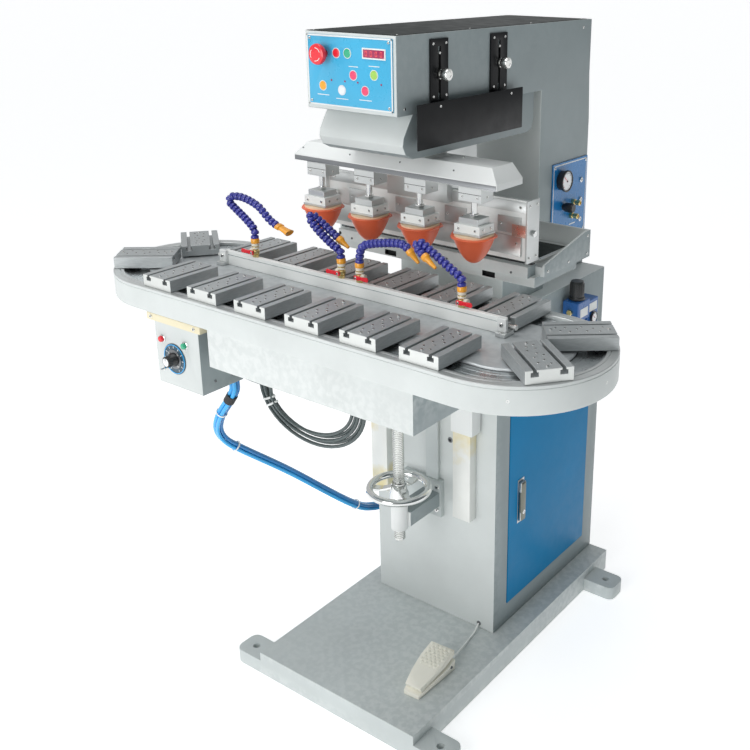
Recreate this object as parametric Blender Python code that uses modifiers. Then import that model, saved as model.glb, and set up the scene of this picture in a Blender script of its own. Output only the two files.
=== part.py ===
"""Four-colour pneumatic pad printer with an oval sixteen-station conveyor table.

Frame: X runs along the table and is 0 on the machine's centre plane, Y runs from the operator to the
back and is 0 at the middle of the base, Z is up from the floor. Everything is in metres.
"""

import math

import bmesh
import bpy
from mathutils import Matrix, Vector

GAP = 0.0003  # clearance between pieces that touch
SHEET = 0.004  # wall of the sheet-metal housings

# Base plate and its four bolt-down ears
BASE_HALF_X = 0.255
BASE_HALF_Y = 0.478
BASE_TOP = 0.066
BASE_RIB = 0.040
EAR_LENGTH = 0.094
EAR_WIDTH = 0.074
EAR_TOP = 0.040
EAR_HOLE_R = 0.010
EAR_HOLE_X = 0.308
EAR_ROUND = 0.020
EAR_Y = (-0.441, 0.376)

# Pedestal cabinet and its door
PEDESTAL_HALF_X = 0.197
PEDESTAL_FRONT = -0.059
PEDESTAL_TOP = 0.969
DOOR_Y = (0.005, 0.420)
DOOR_Z = (0.126, 0.790)
DOOR_GAP = 0.0015
DOOR_DEPTH = 0.015
DOOR_PROUD = 0.0015
LOCK_Y = 0.060
LOCK_Z = (0.362, 0.477)

# Table lift
SCREW_Y = -0.206
SCREW_R = 0.0145
SCREW_CLEARANCE = 0.001
SCREW_BOTTOM = 0.364
SLEEVE_R = 0.022
SLEEVE_Z = (0.397, 0.480)
WHEEL_Z = 0.512
WHEEL_R = 0.085
WHEEL_TUBE_R = 0.0095
RAIL_FACE = PEDESTAL_FRONT - GAP
RAIL_DEPTH = 0.028
RAILS_X = ((-0.193, -0.139), (0.082, 0.136))
RAIL_Z = (0.400, 0.900)

# Oval conveyor table
TABLE_Y = -0.396
ARC_X = 0.457
RIM_R = 0.207
RIM_INNER_R = 0.182
RIM_BOTTOM = 1.0146
RIM_TOP = 1.0744
RIM_FLOOR = 0.006
TRACK_R = 0.1265
TRACK_TOP = 1.066
TRACK_THICK = 0.005
WELL_R = 0.1425
WELL_WALL = 0.004
DECK_R = 0.125
DECK_TOP = 1.071
DECK_THICK = 0.005
FRAME_X = (-0.2115, 0.3633)
FRAME_Y = (-0.598, -0.225)
FRAME_BOTTOM = 0.926
DISC_R = 0.1397
DISC_Z = (1.030, 1.045)

# Work-holding jigs
PITCH = 0.150
JIG_WIDTH = 0.0933
JIG_HEIGHT = 0.0272
JIG_REACH = (0.060, 0.199)
JIG_FOOT = (0.150, 0.170)
JIG_FOOT_HALF = 0.010
END_JIG_ANGLE = math.radians(38.5)
STRAIGHT_JIGS = 6

# Blow-off bar and hoses
BAR_HALF_X = 0.4125
BAR_Y = (-0.362, -0.350)
BAR_TOP = 1.1060
HOSE_R = 0.0092
VALVE_R = 0.0095
NOZZLE_TIP_R = 0.0030
VALVE_TOP = 1.146
HANDLE_Z = 1.119
HANDLE_LENGTH = 0.034

# Control box under the left end of the table
CONTROL_X = (-0.393, -0.243)
CONTROL_Y = (-0.598, -0.478)
CONTROL_Z = (0.846, 0.998)
BOARD_OVERHANG = 0.022

# C-shaped head
HEAD_HALF_X = 0.126
HEAD_FRONT = -0.342
HEAD_BOTTOM = 1.477
HEAD_TOP = 1.642
HEAD_BACK = 0.470
COLUMN_FRONT = 0.225
COLUMN_BACK = 0.478

# Ink bed
BED_HALF_X = 0.290
BED_FRONT = -0.083
BED_Z = (1.094, 1.116)
TRAY_HALF_X = 0.315

# Printing unit
PAD_Y = -0.205
PAD_R = 0.050
PAD_BOTTOM = 1.151
PAD_LIP = 1.210
HOLDER_TOP = 1.256
BEAM_HALF_X = 0.295
BEAM_Y = (-0.2235, -0.122)
BEAM_Z = (1.3235, 1.3675)
BEAM_LIP = 0.014
BEAM_SLOPE = 0.022
ROD_X = 0.050
ROD_Y = -0.170
ROD_R = 0.010
ROD_TOP = 1.440

# Foot pedal
PEDAL_X = 0.164
PEDAL_Y = -0.305
PEDAL_TURN = math.radians(4)
PEDAL_LENGTH = 0.144
PEDAL_WIDTH = 0.076
PEDAL_TOE = 0.60

PAINT = (0.66, 0.70, 0.69)
PARTS = "conveyor_pad_printer"
HELPERS = "cutters"


def start_scene():
    """Empties the scene and makes one collection for the parts and one for the cutters."""
    for obj in list(bpy.data.objects):
        bpy.data.objects.remove(obj, do_unlink=True)
    for name in (PARTS, HELPERS):
        collection = bpy.data.collections.new(name)
        bpy.context.scene.collection.children.link(collection)
    bpy.data.collections[HELPERS].hide_render = True


def finish(name, colour, roughness, metallic=0.0):
    """A plain material for one sub-part."""
    mat = bpy.data.materials.new(name)
    mat.use_nodes = True
    shader = mat.node_tree.nodes["Principled BSDF"]
    shader.inputs["Base Color"].default_value = (*colour, 1.0)
    shader.inputs["Roughness"].default_value = roughness
    shader.inputs["Metallic"].default_value = metallic
    return mat


def paint(name, colour=PAINT):
    return finish(name, colour, 0.45)


def metal(name, colour=(0.72, 0.73, 0.74), roughness=0.3):
    return finish(name, colour, roughness, 1.0)


def place(name, bm, mat=None, origin=(0, 0, 0), smooth=False):
    """Turns a bmesh in world coordinates into an object whose origin is at the given point."""
    bmesh.ops.recalc_face_normals(bm, faces=bm.faces)
    bmesh.ops.translate(bm, verts=bm.verts, vec=-Vector(origin))
    mesh = bpy.data.meshes.new(name)
    bm.to_mesh(mesh)
    bm.free()
    obj = bpy.data.objects.new(name, mesh)
    obj.location = origin
    if smooth:
        mesh.shade_smooth()
        mesh.set_sharp_from_angle(angle=math.radians(40))
    if mat:
        mesh.materials.append(mat)
        bpy.data.collections[PARTS].objects.link(obj)
    else:
        obj.hide_render = True
        obj.display_type = "WIRE"
        bpy.data.collections[HELPERS].objects.link(obj)
    return obj


def box_mesh(x, y, z):
    """A box between pairs of low and high values."""
    bm = bmesh.new()
    bmesh.ops.create_cube(bm, size=1)
    size = (x[1] - x[0], y[1] - y[0], z[1] - z[0])
    centre = ((x[0] + x[1]) / 2, (y[0] + y[1]) / 2, (z[0] + z[1]) / 2)
    bmesh.ops.scale(bm, verts=bm.verts, vec=size)
    bmesh.ops.translate(bm, verts=bm.verts, vec=centre)
    return bm


def rod_mesh(centre, radius, length, axis="Z", steps=20, top_radius=None):
    """A cylinder or cone along an axis, centred on a point."""
    bm = bmesh.new()
    end = radius if top_radius is None else top_radius
    bmesh.ops.create_cone(bm, cap_ends=True, segments=steps, radius1=radius, radius2=end, depth=length)
    turn = {"X": Matrix.Rotation(math.pi / 2, 4, "Y"), "Y": Matrix.Rotation(-math.pi / 2, 4, "X")}
    bmesh.ops.transform(bm, verts=bm.verts, matrix=turn.get(axis, Matrix()))
    bmesh.ops.translate(bm, verts=bm.verts, vec=centre)
    return bm


def prism_mesh(outline, plane, low, high):
    """An outline in the XY or YZ plane, extruded along the remaining axis."""
    bm = bmesh.new()
    lift = (lambda p, h: (p[0], p[1], h)) if plane == "XY" else (lambda p, h: (h, p[0], p[1]))
    face = bm.faces.new([bm.verts.new(lift(point, low)) for point in outline])
    made = bmesh.ops.extrude_face_region(bm, geom=[face])
    raised = [item for item in made["geom"] if isinstance(item, bmesh.types.BMVert)]
    step = Vector(lift((0, 0), high)) - Vector(lift((0, 0), low))
    bmesh.ops.translate(bm, verts=raised, vec=step)
    return bm


def stadium(radius, steps=14):
    """The outline of an oval table: two half circles joined by straight sides."""
    points = []
    for side, start in ((ARC_X, -math.pi / 2), (-ARC_X, math.pi / 2)):
        for i in range(steps + 1):
            angle = start + math.pi * i / steps
            points.append((side + radius * math.cos(angle), TABLE_Y + radius * math.sin(angle)))
    return points


def combine(obj, tools, operation):
    """Adds an exact Boolean for each tool mesh, in order."""
    for tool in tools:
        modifier = obj.modifiers.new(operation.lower(), "BOOLEAN")
        modifier.operation = operation
        modifier.solver = "EXACT"
        modifier.object = place(f"{obj.name}_{operation.lower()}", tool)
    return obj


def cut(obj, *tools):
    return combine(obj, tools, "DIFFERENCE")


def join(obj, *tools):
    return combine(obj, tools, "UNION")


def round_edges(obj, width, segments=1, angle=40):
    bevel = obj.modifiers.new("rounded edges", "BEVEL")
    bevel.width = width
    bevel.segments = segments
    bevel.limit_method = "ANGLE"
    bevel.angle_limit = math.radians(angle)
    return obj


def spline_points(through, count):
    """Evenly numbered points on a smooth curve through the given ones (Catmull-Rom)."""
    ends = [Vector(p) for p in through]
    ends = [2 * ends[0] - ends[1], *ends, 2 * ends[-1] - ends[-2]]
    spans = len(ends) - 3
    made = []
    for i in range(count):
        place_on = spans * i / (count - 1)
        k = min(int(place_on), spans - 1)
        t = place_on - k
        a, b, c, d = ends[k : k + 4]
        square = 2 * a - 5 * b + 4 * c - d
        cube = 3 * b - a - 3 * c + d
        made.append(0.5 * (2 * b + (c - a) * t + square * t**2 + cube * t**3))
    return made


def tube(name, points, radius, mat, radii=None, resolution=2):
    """A round tube along the points. radii scales the radius at each point."""
    curve = bpy.data.curves.new(name, "CURVE")
    curve.dimensions = "3D"
    curve.bevel_depth = radius
    curve.bevel_resolution = resolution
    curve.use_fill_caps = True
    spline = curve.splines.new("POLY")
    spline.points.add(len(points) - 1)
    for i, point in enumerate(points):
        spline.points[i].co = (*point, 1)
        spline.points[i].radius = radii[i] if radii else 1.0
    curve.materials.append(mat)
    obj = bpy.data.objects.new(name, curve)
    bpy.data.collections[PARTS].objects.link(obj)
    return obj


def base():
    grey = paint("base paint")
    slab = box_mesh((-BASE_HALF_X, BASE_HALF_X), (-BASE_HALF_Y, BASE_HALF_Y), (0, BASE_TOP))
    plate = place("base_plate", slab, grey)
    ears = []
    holes = []
    for side in (-1, 1):
        for y in EAR_Y:
            tip = BASE_HALF_X + EAR_LENGTH
            half = EAR_WIDTH / 2
            outline = [(BASE_HALF_X - 0.02, -half)]
            for corner, start in ((-1, -90), (1, 0)):
                for turn in (0, 30, 60, 90):
                    angle = math.radians(start + turn)
                    across = corner * (half - EAR_ROUND) + EAR_ROUND * math.sin(angle)
                    outline.append((tip - EAR_ROUND + EAR_ROUND * math.cos(angle), across))
            outline.append((BASE_HALF_X - 0.02, half))
            ears.append(prism_mesh([(side * u, y + v) for u, v in outline], "XY", 0, EAR_TOP))
            holes.append(rod_mesh((side * EAR_HOLE_X, y, EAR_TOP / 2), EAR_HOLE_R, 2 * EAR_TOP, steps=12))
    join(plate, *ears)
    pockets = []
    for sx in (-1, 1):
        for sy in (-1, 1):
            x = sorted((sx * BASE_RIB / 2, sx * (BASE_HALF_X - 0.012)))
            y = sorted((sy * BASE_RIB / 2, sy * (BASE_HALF_Y - 0.012)))
            pockets.append(box_mesh(x, y, (-0.01, BASE_TOP - 0.008)))
    cut(plate, *pockets, *holes)


def cabinet():
    outer_y = (PEDESTAL_FRONT, BASE_HALF_Y)
    shell = place(
        "pedestal",
        box_mesh((-PEDESTAL_HALF_X, PEDESTAL_HALF_X), outer_y, (BASE_TOP + GAP, PEDESTAL_TOP)),
        paint("pedestal paint"),
    )
    inner_x = (SHEET - PEDESTAL_HALF_X, PEDESTAL_HALF_X - SHEET)
    inner_y = (PEDESTAL_FRONT + SHEET, BASE_HALF_Y - SHEET)
    opening_y = (DOOR_Y[0] - DOOR_GAP, DOOR_Y[1] + DOOR_GAP)
    opening_z = (DOOR_Z[0] - DOOR_GAP, DOOR_Z[1] + DOOR_GAP)
    cut(
        shell,
        box_mesh(inner_x, inner_y, (0, PEDESTAL_TOP - SHEET)),
        box_mesh((PEDESTAL_HALF_X - 0.02, PEDESTAL_HALF_X + 0.02), opening_y, opening_z),
    )
    face = PEDESTAL_HALF_X + DOOR_PROUD
    hinge = (face, DOOR_Y[1], 0)
    blue = finish("door paint", (0.02, 0.26, 0.55), 0.25)
    door = place("cabinet_door", box_mesh((face - DOOR_DEPTH, face), DOOR_Y, DOOR_Z), blue, hinge)
    inside = 0.003
    pocket_y = (DOOR_Y[0] + inside, DOOR_Y[1] - inside)
    pocket_z = (DOOR_Z[0] + inside, DOOR_Z[1] - inside)
    cut(door, box_mesh((face - 0.03, face - inside), pocket_y, pocket_z))
    pivot = (face + 0.0066, LOCK_Y, LOCK_Z[0] + 0.0056)
    grip = box_mesh((face + 0.001, face + 0.0122), (LOCK_Y - 0.011, LOCK_Y + 0.011), LOCK_Z)
    grip = place("door_handle", grip, finish("lock", (0.03, 0.20, 0.42), 0.3), pivot)
    round_edges(grip, 0.0052, segments=3)


def lift_guides():
    """Two vertical rails with a spine, and the bracket that carries the nut of the lead screw."""
    steel = metal("guide steel", (0.45, 0.46, 0.47), 0.4)
    y = (RAIL_FACE - RAIL_DEPTH, RAIL_FACE)
    left, right = RAILS_X
    guide = place("lift_guide", box_mesh(left, y, RAIL_Z), steel)
    join(
        guide,
        box_mesh(right, y, RAIL_Z),
        box_mesh((left[0] + 0.01, right[1] - 0.01), (RAIL_FACE - 0.012, RAIL_FACE), (0.80, 0.89)),
        box_mesh((-0.020, 0.020), (RAIL_FACE - 0.010, RAIL_FACE), (0.40, 0.85)),
        box_mesh((-0.093, 0.033), (RAIL_FACE - 0.014, RAIL_FACE), (0.372, 0.480)),
        box_mesh((-0.028, 0.028), (SCREW_Y + 0.010, RAIL_FACE - 0.004), (0.405, 0.445)),
        rod_mesh((0, SCREW_Y, sum(SLEEVE_Z) / 2), SLEEVE_R, SLEEVE_Z[1] - SLEEVE_Z[0], steps=24),
    )
    cut(guide, rod_mesh((0, SCREW_Y, sum(SLEEVE_Z) / 2), SCREW_R + SCREW_CLEARANCE, 0.2, steps=24))


def handwheel():
    chrome = metal("wheel chrome", (0.80, 0.80, 0.78), 0.12)
    bpy.ops.mesh.primitive_torus_add(
        major_radius=WHEEL_R - WHEEL_TUBE_R, minor_radius=WHEEL_TUBE_R, major_segments=32, minor_segments=8
    )
    ring = bpy.context.object
    ring.name = ring.data.name = "handwheel"
    ring.location = (0, SCREW_Y, WHEEL_Z)
    ring.data.materials.append(chrome)
    ring.data.shade_smooth()
    for collection in list(ring.users_collection):
        collection.objects.unlink(ring)
    bpy.data.collections[PARTS].objects.link(ring)
    bottom = SLEEVE_Z[1] + GAP
    top = WHEEL_Z + 0.018
    join(ring, rod_mesh((0, SCREW_Y, (bottom + top) / 2), 0.024, top - bottom, steps=24))
    for angle in (90, 210, 330):
        spoke = rod_mesh((0, 0, 0), 0.007, WHEEL_R - WHEEL_TUBE_R, axis="X", steps=8)
        reach = (WHEEL_R - WHEEL_TUBE_R) / 2
        turned = Matrix.Translation((0, SCREW_Y, WHEEL_Z)) @ Matrix.Rotation(math.radians(angle), 4, "Z")
        bmesh.ops.transform(spoke, verts=spoke.verts, matrix=turned @ Matrix.Translation((reach, 0, 0)))
        join(ring, spoke)
    cut(ring, rod_mesh((0, SCREW_Y, WHEEL_Z), SCREW_R + SCREW_CLEARANCE, 0.2, steps=24))


def table():
    grey = paint("table paint")
    top = RIM_BOTTOM - GAP
    frame = place("table_frame", box_mesh(FRAME_X, FRAME_Y, (FRAME_BOTTOM, top)), grey)
    wall = 0.003
    inner_x = (FRAME_X[0] + wall, FRAME_X[1] - wall)
    inner_y = (FRAME_Y[0] + wall, FRAME_Y[1] - wall)
    cut(frame, box_mesh(inner_x, inner_y, (0.9, top - wall)))
    shoe_back = RAIL_FACE - RAIL_DEPTH - GAP
    shoe_x = (RAILS_X[0][0], RAILS_X[1][1])
    join(
        frame,
        box_mesh(shoe_x, (FRAME_Y[1] - 0.006, shoe_back - 0.006), (0.930, 0.960)),
        box_mesh(shoe_x, (shoe_back - 0.012, shoe_back), (0.740, 0.960)),
    )
    outside = RAILS_X[1][1] + GAP
    for side in (-1, 1):
        front_x = sorted((side * (outside - 0.052), side * (outside + 0.014)))
        flange_x = sorted((side * outside, side * (outside + 0.014)))
        if side < 0:
            front_x = [x - 0.057 for x in front_x]
            flange_x = [x - 0.057 for x in flange_x]
        join(
            frame,
            box_mesh(front_x, (shoe_back - 0.012, shoe_back), (0.655, 0.800)),
            box_mesh(flange_x, (shoe_back - 0.006, PEDESTAL_FRONT - 0.003), (0.655, 0.800)),
        )
    screw_top = 0.930 - GAP
    middle = (SCREW_BOTTOM + screw_top) / 2
    screw = rod_mesh((0, SCREW_Y, middle), SCREW_R, screw_top - SCREW_BOTTOM, steps=20)
    place("lead_screw", screw, metal("screw steel"), smooth=True)
    rim = place("table_rim", prism_mesh(stadium(RIM_R), "XY", RIM_BOTTOM, RIM_TOP), grey, smooth=True)
    floor = RIM_BOTTOM + RIM_FLOOR
    track_low = TRACK_TOP - TRACK_THICK
    hollow = place("track_hollow", prism_mesh(stadium(RIM_INNER_R - WELL_WALL), "XY", 0.9, track_low))
    cut(hollow, prism_mesh(stadium(WELL_R + WELL_WALL), "XY", 0.8, 1.2))
    cut(
        rim,
        prism_mesh(stadium(RIM_INNER_R), "XY", TRACK_TOP, RIM_TOP + 0.01),
        prism_mesh(stadium(WELL_R), "XY", floor, track_low),
        prism_mesh(stadium(TRACK_R), "XY", floor + 0.001, TRACK_TOP + 0.001),
    )
    under = rim.modifiers.new("hollow under the track", "BOOLEAN")
    under.object = hollow
    deck_mat = finish("deck", (0.74, 0.76, 0.75), 0.4, 0.6)
    deck = place("inner_deck", prism_mesh(stadium(DECK_R), "XY", DECK_TOP - DECK_THICK, DECK_TOP), deck_mat)
    spine_z = (floor + GAP, DECK_TOP - 0.002)
    join(deck, box_mesh((-0.29, 0.29), (TABLE_Y - 0.05, TABLE_Y + 0.05), spine_z))


def jig_outline():
    """Cross-section of a jig: an aluminium plate with an open T-slot near each side."""
    half = JIG_WIDTH / 2
    low = RIM_TOP + GAP
    top = low + JIG_HEIGHT
    lip = top - 0.0050
    floor = top - 0.0130
    mouth = (0.0245, 0.0315)
    slot = (0.0205, 0.0355)
    right = [
        (mouth[0], top),
        (mouth[0], lip),
        (slot[0], lip),
        (slot[0], floor),
        (slot[1], floor),
        (slot[1], lip),
        (mouth[1], lip),
        (mouth[1], top),
        (half, top),
        (half, low),
    ]
    return right + [(-x, z) for x, z in reversed(right)]


def jig_mesh():
    """One jig at the conveyor's centre, its length along -Y."""
    bm = bmesh.new()
    near, far = (-reach for reach in JIG_REACH)
    face = bm.faces.new([bm.verts.new((x, near, z)) for x, z in jig_outline()])
    made = bmesh.ops.extrude_face_region(bm, geom=[face])
    moved = [item for item in made["geom"] if isinstance(item, bmesh.types.BMVert)]
    bmesh.ops.translate(bm, verts=moved, vec=(0, far - near, 0))
    return bm


def jig(name, centre, angle):
    """A jig turned about its conveyor centre. Angle 0 points towards the operator."""
    aluminium = metal("jig aluminium", (0.70, 0.72, 0.71), 0.38)
    obj = place(name, jig_mesh(), aluminium)
    foot_z = (TRACK_TOP + GAP, RIM_TOP + GAP + 0.004)
    foot = box_mesh((-JIG_FOOT_HALF, JIG_FOOT_HALF), (-JIG_FOOT[1], -JIG_FOOT[0]), foot_z)
    obj.matrix_world = Matrix.Translation((*centre, 0)) @ Matrix.Rotation(angle, 4, "Z")
    foot.transform(obj.matrix_world)
    join(obj, foot)


def conveyor():
    for i in range(STRAIGHT_JIGS):
        x = (i - (STRAIGHT_JIGS - 1) / 2) * PITCH
        jig(f"front_jig_{i + 1}", (x, TABLE_Y), 0)
        jig(f"back_jig_{i + 1}", (-x, TABLE_Y), math.pi)
    for name, side in (("right", 1), ("left", -1)):
        centre = (side * ARC_X, TABLE_Y)
        for i, turn in enumerate((-END_JIG_ANGLE, END_JIG_ANGLE)):
            jig(f"{name}_end_jig_{i + 1}", centre, side * math.pi / 2 + turn)
        disc = rod_mesh((*centre, sum(DISC_Z) / 2), DISC_R, DISC_Z[1] - DISC_Z[0], steps=32)
        steel = metal(f"{name} disc steel", roughness=0.35)
        place(f"{name}_index_disc", disc, steel, (*centre, 0), smooth=True)


def on_bar(x, z, y=0.0):
    """A point in the plane of the blow-off bar, moved back by y."""
    return (x, (BAR_Y[0] + BAR_Y[1]) / 2 + y, z)


# Each route runs from the top of its valve to its nozzle tip.
HOSE_ROUTES = (
    [
        on_bar(-0.307, 1.150),
        on_bar(-0.310, 1.172, 0.002),
        on_bar(-0.338, 1.192, 0.005),
        on_bar(-0.374, 1.211, 0.008),
        on_bar(-0.397, 1.225, 0.010),
        on_bar(-0.391, 1.239, 0.012),
        on_bar(-0.359, 1.240, 0.018),
        on_bar(-0.314, 1.225, 0.022),
        on_bar(-0.273, 1.192, 0.026),
        on_bar(-0.219, 1.173, 0.030),
    ],
    [
        on_bar(-0.031, 1.150),
        on_bar(-0.035, 1.167, 0.001),
        on_bar(-0.063, 1.181, 0.002),
        on_bar(-0.099, 1.203, 0.003),
        on_bar(-0.123, 1.224, 0.004),
        on_bar(-0.127, 1.234, 0.012),
        on_bar(-0.111, 1.221, 0.020),
        on_bar(-0.074, 1.198, 0.022),
        on_bar(-0.027, 1.171, 0.022),
    ],
    [
        on_bar(0.023, 1.150),
        on_bar(0.025, 1.168),
        on_bar(0.029, 1.181),
        on_bar(0.041, 1.194),
        on_bar(0.084, 1.206),
        on_bar(0.139, 1.214),
        on_bar(0.161, 1.206),
        on_bar(0.169, 1.192),
        on_bar(0.166, 1.170),
    ],
    [
        on_bar(0.302, 1.150),
        on_bar(0.299, 1.168),
        on_bar(0.271, 1.185),
        on_bar(0.225, 1.211),
        on_bar(0.198, 1.226, -0.002),
        on_bar(0.192, 1.218, -0.008),
        on_bar(0.215, 1.204, -0.014),
        on_bar(0.234, 1.195, -0.016),
        on_bar(0.251, 1.185, -0.018),
    ],
)
HOSE_POINTS = 22


def blow_off():
    """The central bar with four valves, their handles and the segmented hoses."""
    low = DECK_TOP + GAP
    bar = box_mesh((-BAR_HALF_X, BAR_HALF_X), BAR_Y, (low, BAR_TOP))
    bar = place("centre_bar", bar, finish("bar", (0.83, 0.84, 0.82), 0.35, 0.3))
    for side in (-1, 1):
        foot_x = sorted((side * (BAR_HALF_X - 0.012), side * (BAR_HALF_X + 0.012)))
        join(bar, box_mesh(foot_x, (BAR_Y[0] - 0.018, BAR_Y[1] + 0.004), (low, low + 0.008)))
    blue = finish("hose blue", (0.10, 0.10, 0.55), 0.35)
    red = finish("handle red", (0.75, 0.03, 0.05), 0.35)
    for i, route in enumerate(HOSE_ROUTES):
        x, y, _ = route[0]
        base_z = BAR_TOP + GAP
        points = [Vector((x, y, base_z)), Vector((x, y, VALVE_TOP)), *spline_points(route, HOSE_POINTS)]
        radii = [VALVE_R, VALVE_R] + [HOSE_R] * (HOSE_POINTS - 2) + [HOSE_R * 0.8, NOZZLE_TIP_R]
        tube(f"air_hose_{i + 1}", points, 1.0, blue, radii)
        away = -1 if i < 2 else 1
        handle_x = sorted((x - away * 0.004, x + away * HANDLE_LENGTH))
        front = y - VALVE_R - GAP
        lever = box_mesh(handle_x, (front - 0.004, front), (HANDLE_Z - 0.005, HANDLE_Z + 0.005))
        place(f"valve_handle_{i + 1}", lever, red, (x, front, HANDLE_Z))


def control_box():
    grey = paint("control box paint")
    board = box_mesh(
        (CONTROL_X[0] - BOARD_OVERHANG, CONTROL_X[1] + 0.010),
        (CONTROL_Y[0] - 0.003, CONTROL_Y[1]),
        (CONTROL_Z[1] - 0.001, RIM_BOTTOM - GAP),
    )
    case = place("control_box", box_mesh(CONTROL_X, CONTROL_Y, CONTROL_Z), grey)
    join(case, board)
    front = CONTROL_Y[0]
    cut(case, box_mesh(
        (CONTROL_X[0] + 0.003, CONTROL_X[1] - 0.003),
        (front + 0.003, CONTROL_Y[1] + 0.01),
        (CONTROL_Z[0] + 0.003, CONTROL_Z[1] - 0.003),
    ))
    lamps = (("stop_button", -0.368, (0.65, 0.02, 0.03)), ("start_button", -0.290, (0.02, 0.45, 0.28)))
    for name, x, colour in lamps:
        cut(case, rod_mesh((x, front, 0.958), 0.0075, 0.02, "Y", 12))
        button = rod_mesh((x, front - 0.0015, 0.958), 0.0068, 0.017, "Y", 12)
        place(name, button, finish(name, colour, 0.3), smooth=True)
    knob_at = (-0.330, front, 0.916)
    knob = place(
        "speed_knob",
        rod_mesh((knob_at[0], front - GAP - 0.014, knob_at[2]), 0.017, 0.028, "Y", 20),
        finish("knob black", (0.03, 0.03, 0.03), 0.4),
        knob_at,
        smooth=True,
    )
    round_edges(knob, 0.002)


def head():
    """The C-shaped head: a column and an overhanging box, open at the foot of the column."""
    outer = [
        (HEAD_FRONT, HEAD_BOTTOM),
        (COLUMN_FRONT, HEAD_BOTTOM),
        (COLUMN_FRONT, PEDESTAL_TOP + GAP),
        (COLUMN_BACK, PEDESTAL_TOP + GAP),
        (COLUMN_BACK, 1.380),
        (HEAD_BACK, 1.500),
        (HEAD_BACK, HEAD_TOP),
        (HEAD_FRONT, HEAD_TOP),
    ]
    inner = [
        (HEAD_FRONT + SHEET, HEAD_BOTTOM + SHEET),
        (COLUMN_FRONT + SHEET, HEAD_BOTTOM + SHEET),
        (COLUMN_FRONT + SHEET, PEDESTAL_TOP - 0.02),
        (COLUMN_BACK - SHEET, PEDESTAL_TOP - 0.02),
        (COLUMN_BACK - SHEET, 1.379),
        (HEAD_BACK - SHEET, 1.499),
        (HEAD_BACK - SHEET, HEAD_TOP - SHEET),
        (HEAD_FRONT + SHEET, HEAD_TOP - SHEET),
    ]
    shell = place("head_housing", prism_mesh(outer, "YZ", -HEAD_HALF_X, HEAD_HALF_X), paint("head paint"))
    cut(shell, prism_mesh(inner, "YZ", SHEET - HEAD_HALF_X, HEAD_HALF_X - SHEET))
    stop_at = (-0.068, HEAD_FRONT, 1.595)
    cut(shell, rod_mesh(stop_at, 0.009, 0.03, "Y", 16))
    panel_y = (HEAD_FRONT - GAP - 0.003, HEAD_FRONT - GAP)
    sky = finish("panel blue", (0.08, 0.42, 0.66), 0.3)
    panel = place("control_panel", box_mesh((-0.118, 0.118), panel_y, (1.486, 1.634)), sky)
    cut(panel, rod_mesh(stop_at, 0.009, 0.03, "Y", 16))
    red = finish("stop red", (0.75, 0.03, 0.02), 0.3)
    mushroom = rod_mesh((stop_at[0], panel_y[0] - 0.0185, stop_at[2]), 0.022, 0.020, "Y", 24)
    stop = place("emergency_stop", mushroom, red, stop_at, smooth=True)
    join(stop, rod_mesh((stop_at[0], panel_y[0] - 0.004, stop_at[2]), 0.0075, 0.020, "Y", 16))
    cover = [
        (-0.283, HEAD_BOTTOM - GAP),
        (-0.300, 1.452),
        (-0.314, 1.430),
        (-0.318, 1.412),
        (-0.308, 1.393),
        (-0.285, 1.382),
        (-0.255, 1.380),
        (0.170, 1.380),
        (0.190, 1.386),
        (0.198, 1.404),
        (0.200, HEAD_BOTTOM - GAP),
    ]
    cover_mat = paint("front cover paint", (0.70, 0.73, 0.72))
    housing = place("front_cover", prism_mesh(cover, "YZ", -0.120, 0.120), cover_mat)
    cut(housing, box_mesh((-0.117, 0.117), (-0.276, 0.190), (1.360, HEAD_BOTTOM - 0.004)))


def side_fittings():
    blue = finish("side panel blue", (0.04, 0.27, 0.52), 0.35)
    face = HEAD_HALF_X + GAP
    panel = place("side_panel", box_mesh((face, face + 0.003), (0.289, 0.474), (1.066, 1.278)), blue)
    join(
        panel,
        rod_mesh((face + 0.012, 0.334, 1.231), 0.029, 0.024, "X", 20),
        rod_mesh((face + 0.018, 0.350, 1.156), 0.012, 0.036, "X", 12),
        rod_mesh((face + 0.014, 0.400, 1.160), 0.008, 0.028, "X", 10),
        rod_mesh((face + 0.014, 0.390, 1.125), 0.008, 0.028, "X", 10),
    )
    face = PEDESTAL_HALF_X + GAP
    unit = box_mesh((face, face + 0.056), (0.236, 0.306), (0.812, 0.940))
    unit = place("filter_regulator", unit, finish("regulator", (0.03, 0.14, 0.38), 0.35))
    join(
        unit,
        box_mesh((face + 0.004, face + 0.050), (0.300, 0.362), (0.840, 0.928)),
        rod_mesh((face + 0.028, 0.272, 0.960), 0.019, 0.050, steps=16),
    )


def guard():
    """A black plate on two slotted arms that slides up and down beside the printing unit."""
    black = finish("guard black", (0.012, 0.012, 0.014), 0.35)
    face = HEAD_HALF_X + GAP
    sheet = box_mesh((face + 0.020, face + 0.023), (-0.303, 0.101), (1.404, 1.500))
    plate = place("guard_plate", sheet, black)
    for y in ((-0.234, -0.171), (-0.008, 0.060)):
        join(
            plate,
            box_mesh((face, face + 0.004), y, (1.470, 1.628)),
            box_mesh((face, face + 0.0215), y, (1.470, 1.478)),
        )
    for y in (-0.2025, 0.026):
        cut(plate, box_mesh((face - 0.01, face + 0.01), (y - 0.004, y + 0.004), (1.500, 1.612)))


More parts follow.
